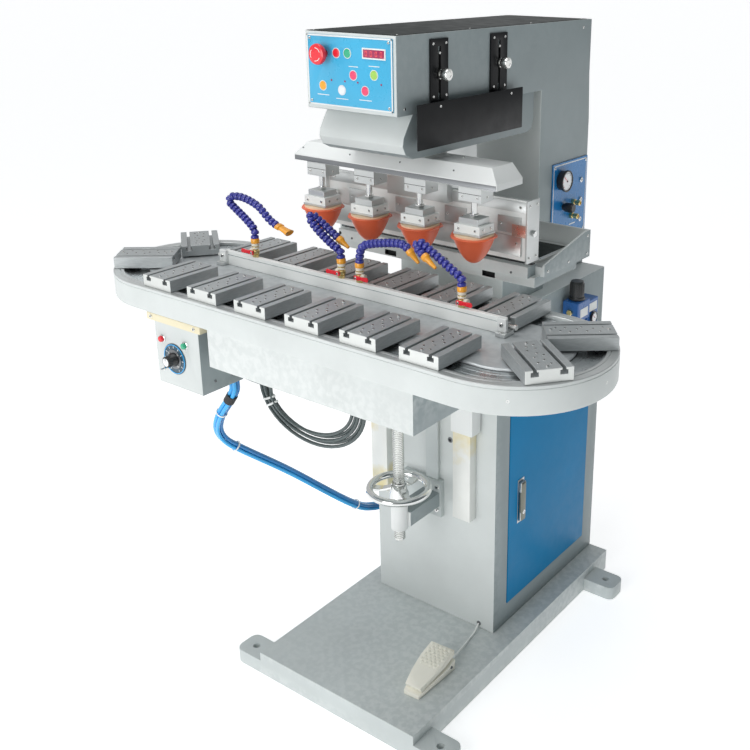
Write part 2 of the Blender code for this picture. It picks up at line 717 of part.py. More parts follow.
def ink_bed():
    """The bed behind the table that carries the printing plates, with its raised ink tray."""
    grey = paint("bed paint", (0.68, 0.71, 0.70))
    tray = [(-0.050, BED_Z[0]), (0.165, BED_Z[0]), (0.165, 1.162), (0.140, 1.162), (-0.050, 1.122)]
    bed = place("ink_bed", prism_mesh(tray, "YZ", -TRAY_HALF_X, TRAY_HALF_X), grey)
    cut(bed, box_mesh((0.006 - TRAY_HALF_X, TRAY_HALF_X - 0.006), (-0.08, 0.159), (BED_Z[1], 1.3)))
    join(
        bed,
        box_mesh((-BED_HALF_X, BED_HALF_X), (BED_FRONT, -0.045), (BED_Z[0], 1.1215)),
        box_mesh((-0.304, 0.304), (-0.074, 0.12), (1.072, BED_Z[0] + 0.002)),
    )
    support = box_mesh((-0.160, 0.160), (0.012, 0.205), (PEDESTAL_TOP + GAP, 1.074))
    join(bed, support)
    cut(bed, box_mesh((-0.154, 0.154), (0.018, 0.199), (0.9, 1.070)))
    for x in (-0.124, 0.176):
        cut(bed, box_mesh((x - 0.018, x + 0.018), (-0.09, -0.060), (1.0755, 1.0885)))


def printing_unit():
    """The carriage that travels in Y, the pad beam that travels in Z, and the four pads."""
    steel = metal("carriage aluminium", (0.76, 0.77, 0.77), 0.3)
    neck_back = -0.004
    neck = box_mesh((-0.090, 0.090), (BEAM_Y[1] + GAP, neck_back), (1.250, 1.425))
    carriage = place("pad_carriage", neck, steel)
    join(
        carriage,
        box_mesh((-0.090, 0.090), (-0.210, neck_back), (1.385, 1.425)),
        box_mesh((-0.300, 0.300), (-0.100, -0.088), (1.140, 1.280)),
        box_mesh((-0.300, 0.300), (-0.100, -0.060), (1.140, 1.152)),
        box_mesh((-0.060, 0.060), (-0.100, -0.030), (1.200, 1.270)),
    )
    for x in (-ROD_X, ROD_X):
        cut(carriage, rod_mesh((x, ROD_Y, 1.40), ROD_R + SCREW_CLEARANCE, 0.08, steps=16))
    front, back = BEAM_Y
    low, high = BEAM_Z
    section = [(front, low), (back, low), (back, high), (front + BEAM_SLOPE, high), (front, low + BEAM_LIP)]
    beam_mat = finish("beam aluminium", (0.86, 0.86, 0.83), 0.3, 0.5)
    beam = place("pad_beam", prism_mesh(section, "YZ", -BEAM_HALF_X, BEAM_HALF_X), beam_mat)
    for side in (-1, 1):
        edge = side * BEAM_HALF_X
        lean = Matrix.Translation((edge, 0, low + BEAM_LIP)) @ Matrix.Rotation(math.radians(-42 * side), 4, "Y")
        wedge = box_mesh(sorted((0, side * 0.1)), (-0.3, 0), (-0.05, 0.10))
        bmesh.ops.transform(wedge, verts=wedge.verts, matrix=lean)
        cut(beam, wedge)
    for x in (-ROD_X, ROD_X):
        join(beam, rod_mesh((x, ROD_Y, (high - 0.01 + ROD_TOP) / 2), ROD_R, ROD_TOP - high + 0.01, steps=16))
    rubber = finish("pad rubber", (0.86, 0.19, 0.08), 0.45)
    for i in range(4):
        x = (i - 1.5) * PITCH
        pad(f"print_pad_{i + 1}", (x, PAD_Y), low - GAP, rubber)


def pad(name, centre, top, rubber):
    """A silicone pad under its holder, with the rod and block that hang it from the beam."""
    profile = [(0.0, PAD_LIP + 0.004), (PAD_R + 0.003, PAD_LIP + 0.004), (PAD_R + 0.003, PAD_LIP)]
    depth = PAD_LIP - PAD_BOTTOM
    steps = 5
    for i in range(steps + 1):
        angle = math.pi / 2 * i / steps
        radius = (PAD_R - 0.003) * math.cos(angle) ** 0.8
        profile.append((radius, PAD_LIP - 0.004 - (depth - 0.004) * math.sin(angle)))
    profile[-1] = (0.0, PAD_BOTTOM)
    mesh = bpy.data.meshes.new(name)
    mesh.from_pydata([(x, 0, z) for x, z in profile], [(k, k + 1) for k in range(len(profile) - 1)], [])
    mesh.materials.append(rubber)
    obj = bpy.data.objects.new(name, mesh)
    obj.location = (*centre, 0)
    bpy.data.collections[PARTS].objects.link(obj)
    screw = obj.modifiers.new("turned", "SCREW")
    screw.steps = screw.render_steps = 20
    screw.use_merge_vertices = True
    screw.merge_threshold = 0.0001
    x, y = centre
    half = 0.043
    join(
        obj,
        box_mesh((x - half, x + half), (y - half, y + half), (PAD_LIP + 0.001, PAD_LIP + 0.010)),
        box_mesh((x - 0.034, x + 0.034), (y - 0.028, y + 0.028), (PAD_LIP + 0.006, HOLDER_TOP)),
        rod_mesh((x, y, (HOLDER_TOP + top) / 2 - 0.01), 0.0065, top - HOLDER_TOP - 0.01, steps=12),
        box_mesh((x - 0.030, x + 0.030), (y - 0.018, y + 0.030), (top - 0.032, top)),
    )
    return obj


def to_pedal(x, y, z):
    """Moves a point from the pedal's own axes, Y towards its raised end, to the machine's."""
    return Matrix.Translation((PEDAL_X, PEDAL_Y, 0)) @ Matrix.Rotation(PEDAL_TURN, 4, "Z") @ Vector((x, y, z))


def narrow_toe(bm):
    """Tapers a pedal shape in plan towards its toe."""
    half = PEDAL_LENGTH / 2
    for vert in bm.verts:
        share = min(1.0, max(0.0, (vert.co.y + half) / half))
        vert.co.x *= PEDAL_TOE + (1 - PEDAL_TOE) * share


def foot_pedal():
    cream = finish("pedal cream", (0.80, 0.76, 0.66), 0.5)
    floor = BASE_TOP + GAP
    half = PEDAL_LENGTH / 2
    turned = Matrix.Translation((PEDAL_X, PEDAL_Y, 0)) @ Matrix.Rotation(PEDAL_TURN, 4, "Z")
    side = PEDAL_WIDTH / 2
    rear, crown, toe = (half, floor + 0.030), (0.03, floor + 0.024), (-half, floor + 0.012)
    lower = [(-half, floor), (half, floor), rear, crown, (-half / 3, floor + 0.0195), toe]
    lower = prism_mesh(lower, "YZ", -side, side)
    narrow_toe(lower)
    lower.transform(turned)
    place("pedal_base", lower, cream)
    upper = [
        (-half + 0.012, floor + 0.0145),
        (0.03, floor + 0.032),
        (half, floor + 0.042),
        (half, floor + 0.056),
        (0.02, floor + 0.048),
        (-half / 3, floor + 0.0385),
        (-half + 0.006, floor + 0.028),
    ]
    upper = prism_mesh(upper, "YZ", 0.003 - side, side - 0.003)
    narrow_toe(upper)
    upper.transform(turned)
    place("pedal_treadle", upper, cream, to_pedal(0, -half + 0.012, floor + 0.018))


TUBE_BUNDLE_ROUTE = (
    (-0.2580, -0.4930, 0.8440),
    (-0.2600, -0.4930, 0.8180),
    (-0.2830, -0.4940, 0.7820),
    (-0.3140, -0.4940, 0.7400),
    (-0.3420, -0.4820, 0.6900),
    (-0.3500, -0.4550, 0.6450),
    (-0.3340, -0.4120, 0.6040),
    (-0.2930, -0.3000, 0.5080),
    (-0.2410, -0.1300, 0.3520),
    (-0.2460, -0.0300, 0.2890),
    (-0.2320, 0.0400, 0.2800),
    (-0.2035, 0.0560, 0.2820),
)
PEDAL_CORD_ROUTE = (
    (0.1840, -0.2305, 0.0860),
    (0.1810, -0.2160, 0.0860),
    (0.1750, -0.1900, 0.0800),
    (0.1670, -0.1550, 0.0725),
    (0.1600, -0.1180, 0.0700),
    (0.1560, -0.0880, 0.0710),
    (0.1515, -0.0680, 0.0765),
    (0.1500, -0.0602, 0.0800),
)
COIL_CENTRE = (-0.125, -0.380, 0.800)
COIL_R = 0.130
COIL_TUBE_R = 0.020
COIL_SCALE = (1.18, 0.85)


def cords():
    blue = finish("tube blue", (0.03, 0.30, 0.75), 0.4)
    white = finish("pedal cord white", (0.85, 0.85, 0.83), 0.5)
    grey = finish("cable grey", (0.12, 0.13, 0.13), 0.5)
    tube("tube_bundle", spline_points(TUBE_BUNDLE_ROUTE, 26), 0.013, blue)
    tube("pedal_cord", spline_points(PEDAL_CORD_ROUTE, 14), 0.0026, white)
    bpy.ops.mesh.primitive_torus_add(
        major_radius=COIL_R, minor_radius=COIL_TUBE_R, major_segments=32, minor_segments=8,
        location=COIL_CENTRE, rotation=(math.pi / 2, 0, 0),
    )
    coil = bpy.context.object
    coil.scale = (COIL_SCALE[0], COIL_SCALE[1], 1)
    coil.name = coil.data.name = "cable_coil"
    coil.data.materials.append(grey)
    coil.data.shade_smooth()
    for collection in list(coil.users_collection):
        collection.objects.unlink(coil)
    bpy.data.collections[PARTS].objects.link(coil)


def main():
    start_scene()
    base()
    cabinet()
    lift_guides()
    handwheel()
    table()
    conveyor()
    blow_off()
    control_box()
    head()
    side_fittings()
    guard()
    ink_bed()
    printing_unit()
    foot_pedal()
    cords()


main()
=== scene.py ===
import math

import bmesh
import bpy
from mathutils import Matrix, Vector


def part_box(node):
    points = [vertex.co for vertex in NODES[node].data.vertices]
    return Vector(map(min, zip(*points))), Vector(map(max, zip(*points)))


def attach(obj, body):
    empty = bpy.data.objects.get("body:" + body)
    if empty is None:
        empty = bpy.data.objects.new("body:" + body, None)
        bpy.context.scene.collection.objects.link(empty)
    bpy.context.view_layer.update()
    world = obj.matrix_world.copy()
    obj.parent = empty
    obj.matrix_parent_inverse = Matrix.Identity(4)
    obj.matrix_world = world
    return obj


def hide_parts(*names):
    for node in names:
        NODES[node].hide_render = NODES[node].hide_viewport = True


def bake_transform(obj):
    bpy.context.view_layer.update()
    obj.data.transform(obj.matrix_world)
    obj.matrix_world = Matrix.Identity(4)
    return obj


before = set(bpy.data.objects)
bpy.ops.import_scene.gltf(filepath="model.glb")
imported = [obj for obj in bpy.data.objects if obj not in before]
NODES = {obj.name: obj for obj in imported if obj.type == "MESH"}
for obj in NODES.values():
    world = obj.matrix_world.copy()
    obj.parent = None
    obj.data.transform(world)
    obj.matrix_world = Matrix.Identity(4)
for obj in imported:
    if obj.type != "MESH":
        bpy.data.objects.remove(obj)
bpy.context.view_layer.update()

# The machine's main dimensions, in metres. X runs along the table, Y to the back and Z up.
TABLE_Y = -0.396
ARC_X = 0.457
RIM_R = 0.207
RIM_INNER_R = 0.182
TRACK_R = 0.1265
TRACK_TOP = 1.066
DECK_R = 0.125
PITCH = 0.15
BAR_MIDDLE_Y = -0.356
BAR_TOP = 1.106
HEAD_SIDE = 0.126
HEAD_FRONT = -0.342
PANEL_FRONT = -0.3453
CONTROL_FRONT = -0.598
DOOR_FACE = 0.1985
PEDESTAL_FRONT = -0.059
PEDESTAL_HALF_X = 0.197
BODY = "root"
LIFT = "table_lift"


# ---------------------------------------------------------------- camera, light and floor

def camera():
    """A standing viewer's place in front of the right end of the table."""
    yaw, pitch, roll = (math.radians(angle) for angle in (35.0, -18.8, 0.51))
    ahead = Vector((-math.sin(yaw) * math.cos(pitch), math.cos(yaw) * math.cos(pitch), math.sin(pitch)))
    level = Vector((math.cos(yaw), math.sin(yaw), 0))
    rise = level.cross(ahead)
    right = level * math.cos(roll) + rise * math.sin(roll)
    up = rise * math.cos(roll) - level * math.sin(roll)
    data = bpy.data.cameras.new("camera")
    data.lens = 47.73
    data.sensor_width = 36
    data.shift_x = -0.1318
    data.shift_y = -0.1058
    data.clip_end = 200
    eye = bpy.data.objects.new("camera", data)
    turn = Matrix((right, up, -ahead)).transposed().to_4x4()
    eye.matrix_world = Matrix.Translation((1.434, -1.93, 1.791)) @ turn
    bpy.context.scene.collection.objects.link(eye)
    bpy.context.scene.camera = eye


def area_light(name, place, target, size, power, colour=(1, 1, 1)):
    data = bpy.data.lights.new(name, "AREA")
    data.shape = "DISK"
    data.size = size
    data.energy = power
    data.color = colour
    lamp = bpy.data.objects.new(name, data)
    lamp.location = place
    lamp.rotation_euler = (Vector(target) - Vector(place)).to_track_quat("-Z", "Y").to_euler()
    bpy.context.scene.collection.objects.link(lamp)


def studio():
    """A large key light from the front and a pale room, dimmer on the machine's right."""
    area_light("key", (0.0, -3.4, 1.7), (0, -0.2, 0.8), 2.0, 38)
    area_light("top", (-0.4, -0.6, 3.6), (0, -0.2, 1.0), 2.2, 26)
    world = bpy.data.worlds.new("pale room")
    bpy.context.scene.world = world
    world.use_nodes = True
    tree = world.node_tree
    where = tree.nodes.new("ShaderNodeTexCoord")
    parts = tree.nodes.new("ShaderNodeSeparateXYZ")
    across = tree.nodes.new("ShaderNodeMapRange")
    across.inputs["From Min"].default_value = -0.1
    across.inputs["From Max"].default_value = 0.9
    mix = tree.nodes.new("ShaderNodeMix")
    mix.data_type = "RGBA"
    mix.inputs[6].default_value = (0.96, 0.97, 0.98, 1)
    mix.inputs[7].default_value = (0.15, 0.19, 0.2, 1)
    tree.links.new(where.outputs["Generated"], parts.inputs[0])
    tree.links.new(parts.outputs["X"], across.inputs["Value"])
    tree.links.new(across.outputs["Result"], mix.inputs[0])
    sky = tree.nodes["Background"]
    tree.links.new(mix.outputs[2], sky.inputs["Color"])
    sky.inputs["Strength"].default_value = 0.6
    bm = bmesh.new()
    bmesh.ops.create_grid(bm, x_segments=2, y_segments=2, size=60)
    mesh = bpy.data.meshes.new("floor")
    bm.to_mesh(mesh)
    bm.free()
    floor = bpy.data.objects.new("floor", mesh)
    floor.location.z = -0.0002
    pale = surface("floor pale", (0.9, 0.905, 0.91), 0.6, grain=60, bump=0.02, mottle=0.01)
    glow = pale.node_tree.nodes["Principled BSDF"]
    glow.inputs["Emission Color"].default_value = (1, 1, 1, 1)
    glow.inputs["Emission Strength"].default_value = 0.56
    mesh.materials.append(pale)
    bpy.context.scene.collection.objects.link(floor)
    bpy.context.scene.view_settings.view_transform = "Standard"


# ---------------------------------------------------------------- materials

def surface(name, colour, roughness, metallic=0.0, grain=500.0, bump=0.12, mottle=0.05, stretch=(1, 1, 1),
            wear=None, coat=0.0, stain=None, spread=0.05, specular=0.5):
    """A procedural finish: fine relief, uneven colour and gloss, and wear or stains where given."""
    mat = bpy.data.materials.new(name)
    mat.use_nodes = True
    tree = mat.node_tree
    shader = tree.nodes["Principled BSDF"]
    shader.inputs["Metallic"].default_value = metallic
    shader.inputs["Specular IOR Level"].default_value = specular
    if coat:
        shader.inputs["Coat Weight"].default_value = coat
        shader.inputs["Coat Roughness"].default_value = 0.06
    where = tree.nodes.new("ShaderNodeTexCoord")
    mapping = tree.nodes.new("ShaderNodeMapping")
    mapping.inputs["Scale"].default_value = stretch
    tree.links.new(where.outputs["Object"], mapping.inputs["Vector"])

    def noise(scale, detail, source=mapping.outputs[0]):
        node = tree.nodes.new("ShaderNodeTexNoise")
        node.inputs["Scale"].default_value = scale
        node.inputs["Detail"].default_value = detail
        tree.links.new(source, node.inputs["Vector"])
        return node.outputs["Fac"]

    def rescale(value, low, high, start=0.3, end=0.7):
        node = tree.nodes.new("ShaderNodeMapRange")
        for key, number in zip(("From Min", "From Max", "To Min", "To Max"), (start, end, low, high)):
            node.inputs[key].default_value = number
        tree.links.new(value, node.inputs["Value"])
        return node.outputs["Result"]

    def blend(amount, first, second):
        node = tree.nodes.new("ShaderNodeMix")
        node.data_type = "RGBA"
        tree.links.new(amount, node.inputs[0])
        for socket, value in ((node.inputs[6], first), (node.inputs[7], second)):
            if isinstance(value, tuple):
                socket.default_value = (*value, 1)
            else:
                tree.links.new(value, socket)
        return node.outputs[2]

    dark = tuple(max(0.0, c * (1 - mottle)) for c in colour)
    light = tuple(min(1.0, c * (1 + mottle)) for c in colour)
    shade = blend(rescale(noise(7, 5, where.outputs["Object"]), 0, 1), dark, light)
    if stain:
        patch = rescale(noise(9, 6, where.outputs["Object"]), 0, 1, 0.52, 0.7)
        shade = blend(patch, shade, stain)
    if wear:
        geometry = tree.nodes.new("ShaderNodeNewGeometry")
        edge = rescale(geometry.outputs["Pointiness"], 0, 1, 0.54, 0.62)
        rub = rescale(noise(60, 4), 0, 0.3, 0.42, 0.6)
        both = tree.nodes.new("ShaderNodeMath")
        both.operation = "MULTIPLY"
        tree.links.new(edge, both.inputs[0])
        tree.links.new(rub, both.inputs[1])
        shade = blend(both.outputs[0], shade, wear)
    tree.links.new(shade, shader.inputs["Base Color"])
    gloss = rescale(noise(38, 3), max(0.02, roughness - spread), min(1.0, roughness + spread))
    tree.links.new(gloss, shader.inputs["Roughness"])
    relief = tree.nodes.new("ShaderNodeBump")
    relief.inputs["Strength"].default_value = bump
    relief.inputs["Distance"].default_value = min(0.0006, 0.5 / (grain * max(stretch)))
    tree.links.new(noise(grain, 3), relief.inputs["Height"])
    tree.links.new(relief.outputs[0], shader.inputs["Normal"])
    return mat


def finishes():
    """Every finish of the machine, by name."""
    worn = (0.86, 0.88, 0.87)
    made = {
        "paint": surface("grey texture paint", (0.56, 0.605, 0.6), 0.46, grain=900, bump=0.08, wear=worn),
        # case: a darker copy of the pale paint, used as painted shade on faces turned away from the light (sides,
        # backs, undersides); its edge wear is real
        "case": surface("pale paint in painted shade", (0.29, 0.34, 0.35), 0.44, grain=900, bump=0.1, wear=worn),
        "bright": surface("pale paint", (0.64, 0.675, 0.665), 0.42, grain=800, bump=0.08, wear=worn),
        "white": surface("white paint", (0.78, 0.8, 0.79), 0.38, grain=700, bump=0.06, coat=0.1),
        "top": surface("dark sheet", (0.01, 0.015, 0.014), 0.45, grain=300, bump=0.05, specular=0.1),
        "steel": surface("ground steel", (0.58, 0.59, 0.58), 0.36, 1.0, 300, 0.06, 0.06, (1, 1, 12)),
        "dark steel": surface("dark steel", (0.24, 0.25, 0.26), 0.34, 1.0, 400, 0.08),
        "guide": surface("greased guide", (0.8, 0.81, 0.78), 0.36, 0.25, 300, 0.06, stain=(0.74, 0.64, 0.34)),
        "thread": surface("turned steel", (0.7, 0.71, 0.69), 0.26, 1.0, 300, 0.04),
        "chrome": surface("polished chrome", (0.74, 0.75, 0.74), 0.09, 1.0, 80, 0.02, 0.02, spread=0.03),
        "track": surface("rolled track", (0.72, 0.75, 0.76), 0.3, 1.0, 60, 0.05, 0.05, spread=0.06),
        "deck": surface("satin deck", (0.52, 0.55, 0.56), 0.36, 0.45, 500, 0.05, 0.05, wear=(0.92, 0.93, 0.93)),
        "jig": surface("jig aluminium", (0.44, 0.465, 0.47), 0.42, 0.65, 420, 0.12, 0.06, (9, 1, 9),
                       (0.9, 0.91, 0.91)),
        "jig end": surface("sawn aluminium", (0.74, 0.76, 0.74), 0.38, 0.45, 900, 0.1, 0.05),
        "anodised": surface("white anodised", (0.88, 0.9, 0.88), 0.36, 0.1, 500, 0.04, 0.03, (1, 9, 9),
                            (0.97, 0.97, 0.96)),
        "plate": surface("milled plate", (0.64, 0.66, 0.655), 0.34, 0.7, 300, 0.08, 0.05, (1, 1, 8)),
        "screw": surface("bright screw", (0.82, 0.82, 0.8), 0.18, 1.0, 200, 0.03),
        # Near-black finish: painted shade inside holes, sockets, slots and pockets, and also real dark marks such
        # as gauge ticks, a knob's line and a needle hub.
        "painted_shade_and_dark_marks": surface("dark hole", (0.02, 0.022, 0.022), 0.7, grain=200, bump=0.05),
        "copper": surface("copper sheet", (0.8, 0.52, 0.44), 0.28, 0.85, 200, 0.05, 0.12),
        "brass": surface("brass", (0.83, 0.66, 0.3), 0.24, 1.0, 300, 0.05, 0.08),
        "ivory": surface("ivory plastic", (0.86, 0.82, 0.7), 0.32, grain=400, bump=0.05),
        "orange": surface("orange nozzle", (0.93, 0.4, 0.03), 0.3, grain=300, bump=0.04, coat=0.3),
        "hose": surface("hose blue", (0.04, 0.045, 0.32), 0.24, grain=300, bump=0.04, coat=0.4, mottle=0.15),
        "silicone": surface("pad silicone", (0.83, 0.145, 0.055), 0.38, grain=260, bump=0.1, mottle=0.1, coat=0.1),
        "wood": surface("pad board", (0.9, 0.68, 0.46), 0.5, grain=160, bump=0.12, stretch=(1, 8, 1)),
        "red": surface("lever red", (0.8, 0.02, 0.035), 0.28, grain=300, bump=0.05, coat=0.4),
        "green": surface("lamp green", (0.02, 0.42, 0.22), 0.2, grain=300, bump=0.03, coat=0.6),
        "black": surface("black plastic", (0.022, 0.023, 0.024), 0.34, grain=500, bump=0.12, coat=0.1),
        "guard": surface("satin black", (0.003, 0.0035, 0.005), 0.4, grain=700, bump=0.06, mottle=0.3,
                         specular=0.25),
        "sky": surface("panel film", (0.055, 0.43, 0.7), 0.3, grain=600, bump=0.05, coat=0.2, mottle=0.04),
        "door": surface("door blue", (0.008, 0.22, 0.47), 0.34, grain=260, bump=0.05, mottle=0.05, specular=0.08),
        "side": surface("side film", (0.012, 0.2, 0.52), 0.28, grain=600, bump=0.05, coat=0.3),
        "regulator": surface("regulator blue", (0.02, 0.12, 0.38), 0.3, grain=500, bump=0.06, coat=0.3),
        "pedal": surface("pedal cream", (0.88, 0.86, 0.76), 0.42, grain=420, bump=0.12, stain=(0.78, 0.72, 0.6)),
        "tube": surface("air tube", (0.04, 0.42, 0.86), 0.2, grain=200, bump=0.03, coat=0.5, mottle=0.1),
        "dark tube": surface("dark air tube", (0.02, 0.2, 0.5), 0.22, grain=200, bump=0.03, coat=0.4),
        "cable": surface("cable grey", (0.1, 0.125, 0.125), 0.36, grain=300, bump=0.05, mottle=0.2),
        "cord": surface("cord white", (0.86, 0.87, 0.85), 0.4, grain=300, bump=0.05),
        "board": surface("varnished board", (0.8, 0.73, 0.52), 0.38, grain=120, bump=0.1, stretch=(1, 10, 10)),
        "dial": surface("dial slate", (0.022, 0.07, 0.11), 0.26, grain=300, bump=0.03, coat=0.3),
        "display": surface("display red", (0.34, 0.01, 0.08), 0.15, grain=200, bump=0.01, coat=0.8),
        "digit": surface("lit digit", (0.95, 0.1, 0.12), 0.3, grain=200, bump=0.01),
        "pink": surface("key pink", (0.84, 0.06, 0.16), 0.3, grain=300, bump=0.04, coat=0.3),
        "lime": surface("key lime", (0.36, 0.62, 0.1), 0.3, grain=300, bump=0.04, coat=0.3),
        "pale key": surface("key pale", (0.8, 0.84, 0.9), 0.3, grain=300, bump=0.04, coat=0.3),
        "glass": surface("gauge face", (0.9, 0.92, 0.93), 0.1, grain=200, bump=0.01, coat=0.8),
        "olive": surface("lock olive", (0.22, 0.225, 0.19), 0.34, 0.6, 300, 0.06),
        "tape": surface("black tape", (0.02, 0.02, 0.022), 0.5, grain=200, bump=0.2),
    }
    return made


# ---------------------------------------------------------------- shapes

def towards(direction):
    """Turns +Z to a direction."""
    return Vector(direction).to_track_quat("Z", "Y").to_matrix().to_4x4()


AXES = {"X": (1, 0, 0), "-X": (-1, 0, 0), "Y": (0, 1, 0), "-Y": (0, -1, 0), "Z": (0, 0, 1), "-Z": (0, 0, -1)}


def box(x, y, z):
    bm = bmesh.new()
    bmesh.ops.create_cube(bm, size=1)
    size = (x[1] - x[0], y[1] - y[0], z[1] - z[0])
    middle = ((x[0] + x[1]) / 2, (y[0] + y[1]) / 2, (z[0] + z[1]) / 2)
    bmesh.ops.transform(bm, verts=bm.verts, matrix=Matrix.Translation(middle) @ Matrix.Diagonal((*size, 1)))
    return bm


def rod(centre, radius, length, axis="Z", steps=32, end=None):
    """A cylinder or cone centred on a point."""
    bm = bmesh.new()
    top = radius if end is None else end
    bmesh.ops.create_cone(bm, cap_ends=True, segments=steps, radius1=radius, radius2=top, depth=length)
    bmesh.ops.transform(bm, verts=bm.verts, matrix=Matrix.Translation(centre) @ towards(AXES[axis]))
    return bm


def prism(outline, low, high, plane="YZ"):
    """An outline in the YZ or XY plane, extruded along X or Z."""
    bm = bmesh.new()
    lift = (lambda p, h: (h, p[0], p[1])) if plane == "YZ" else (lambda p, h: (p[0], p[1], h))
    face = bm.faces.new([bm.verts.new(lift(p, low)) for p in outline])
    made = bmesh.ops.extrude_face_region(bm, geom=[face])
    moved = [v for v in made["geom"] if isinstance(v, bmesh.types.BMVert)]
    bmesh.ops.translate(bm, verts=moved, vec=Vector(lift((0, 0), high)) - Vector(lift((0, 0), low)))
    return bm


def turned(profile, centre=(0, 0, 0), axis="Z", steps=32, matrix=None):
    """A profile of (radius, height) turned round an axis; ends at radius 0 are closed."""
    bm = bmesh.new()
    rings = []
    for radius, height in profile:
        if radius < 1e-6:
            rings.append([bm.verts.new((0, 0, height))] * steps)
            continue
        turn = [2 * math.pi * i / steps for i in range(steps)]
        rings.append([bm.verts.new((radius * math.cos(a), radius * math.sin(a), height)) for a in turn])
    for low, high in zip(rings, rings[1:]):
        for i in range(steps):
            corners = [low[i], low[(i + 1) % steps], high[(i + 1) % steps], high[i]]
            corners = list(dict.fromkeys(corners))
            if len(corners) > 2:
                bm.faces.new(corners)
    for ring, radius in ((rings[0], profile[0][0]), (rings[-1], profile[-1][0])):
        if radius >= 1e-6:
            bm.faces.new(ring)
    place = matrix or Matrix.Translation(centre) @ towards(AXES[axis])
    bmesh.ops.transform(bm, verts=bm.verts, matrix=place)
    return bm


def spun(place, angle, axis="Z"):
    """Turned about an axis, then moved to a place."""
    return Matrix.Translation(place) @ Matrix.Rotation(angle, 4, axis)


def torus(centre, radius, thick, axis="Z", around=48, steps=16, squash=1.0):
    bm = bmesh.new()
    rings = []
    for i in range(around):
        a = 2 * math.pi * i / around
        ring = []
        for k in range(steps):
            b = 2 * math.pi * k / steps
            reach = radius + thick * math.cos(b)
            ring.append(bm.verts.new((reach * math.cos(a), reach * math.sin(a), squash * thick * math.sin(b))))
        rings.append(ring)
    for i in range(around):
        first, second = rings[i], rings[(i + 1) % around]
        for k in range(steps):
            bm.faces.new((first[k], second[k], second[(k + 1) % steps], first[(k + 1) % steps]))
    bmesh.ops.transform(bm, verts=bm.verts, matrix=Matrix.Translation(centre) @ towards(AXES[axis]))
    return bm


def smooth_route(through, count):
    """Points on a smooth curve through the given ones (Catmull-Rom)."""
    ends = [Vector(p) for p in through]
    ends = [2 * ends[0] - ends[1], *ends, 2 * ends[-1] - ends[-2]]
    spans = len(ends) - 3
    made = []
    for i in range(count):
        place_on = spans * i / (count - 1)
        k = min(int(place_on), spans - 1)
        t = place_on - k
        a, b, c, d = ends[k : k + 4]
        square = 2 * a - 5 * b + 4 * c - d
        cube = 3 * b - a - 3 * c + d
        made.append(0.5 * (2 * b + (c - a) * t + square * t**2 + cube * t**3))
    return made


def frames_along(points):
    """A turning frame at each point of a route, carried along without twisting."""
    made = []
    side = None
    for i, point in enumerate(points):
        ahead = (points[min(i + 1, len(points) - 1)] - points[max(i - 1, 0)]).normalized()
        if side is None:
            side = ahead.orthogonal().normalized()
        side = (side - ahead * side.dot(ahead)).normalized()
        made.append((point, side, ahead.cross(side)))
    return made


def pipe(points, radius, sides=16):
    """A round tube along points, closed at both ends."""
    bm = bmesh.new()
    rings = []
    turns = [2 * math.pi * k / sides for k in range(sides)]
    for point, side, other in frames_along(points):
        rings.append([bm.verts.new(point + (side * math.cos(a) + other * math.sin(a)) * radius) for a in turns])
    for low, high in zip(rings, rings[1:]):
        for k in range(sides):
            bm.faces.new((low[k], low[(k + 1) % sides], high[(k + 1) % sides], high[k]))
    bm.faces.new(rings[0])
    bm.faces.new(rings[-1])
    return bm


def oval(profile, closed=True, steps=40):
    """A profile of (radius, height) swept round the oval of the table."""
    bm = bmesh.new()
    rings = []
    for side, start in ((ARC_X, -math.pi / 2), (-ARC_X, math.pi / 2)):
        for i in range(steps + 1):
            a = start + math.pi * i / steps
            ring = [(side + r * math.cos(a), TABLE_Y + r * math.sin(a), z) for r, z in profile]
            rings.append([bm.verts.new(p) for p in ring])
    for i, ring in enumerate(rings):
        following = rings[(i + 1) % len(rings)]
        for k in range(len(profile) if closed else len(profile) - 1):
            n = (k + 1) % len(profile)
            bm.faces.new((ring[k], following[k], following[n], ring[n]))
    return bm


def oval_outline(radius, steps=40):
    points = []
    for side, start in ((ARC_X, -math.pi / 2), (-ARC_X, math.pi / 2)):
        for i in range(steps + 1):
            a = start + math.pi * i / steps
            points.append((side + radius * math.cos(a), TABLE_Y + radius * math.sin(a)))
    return points


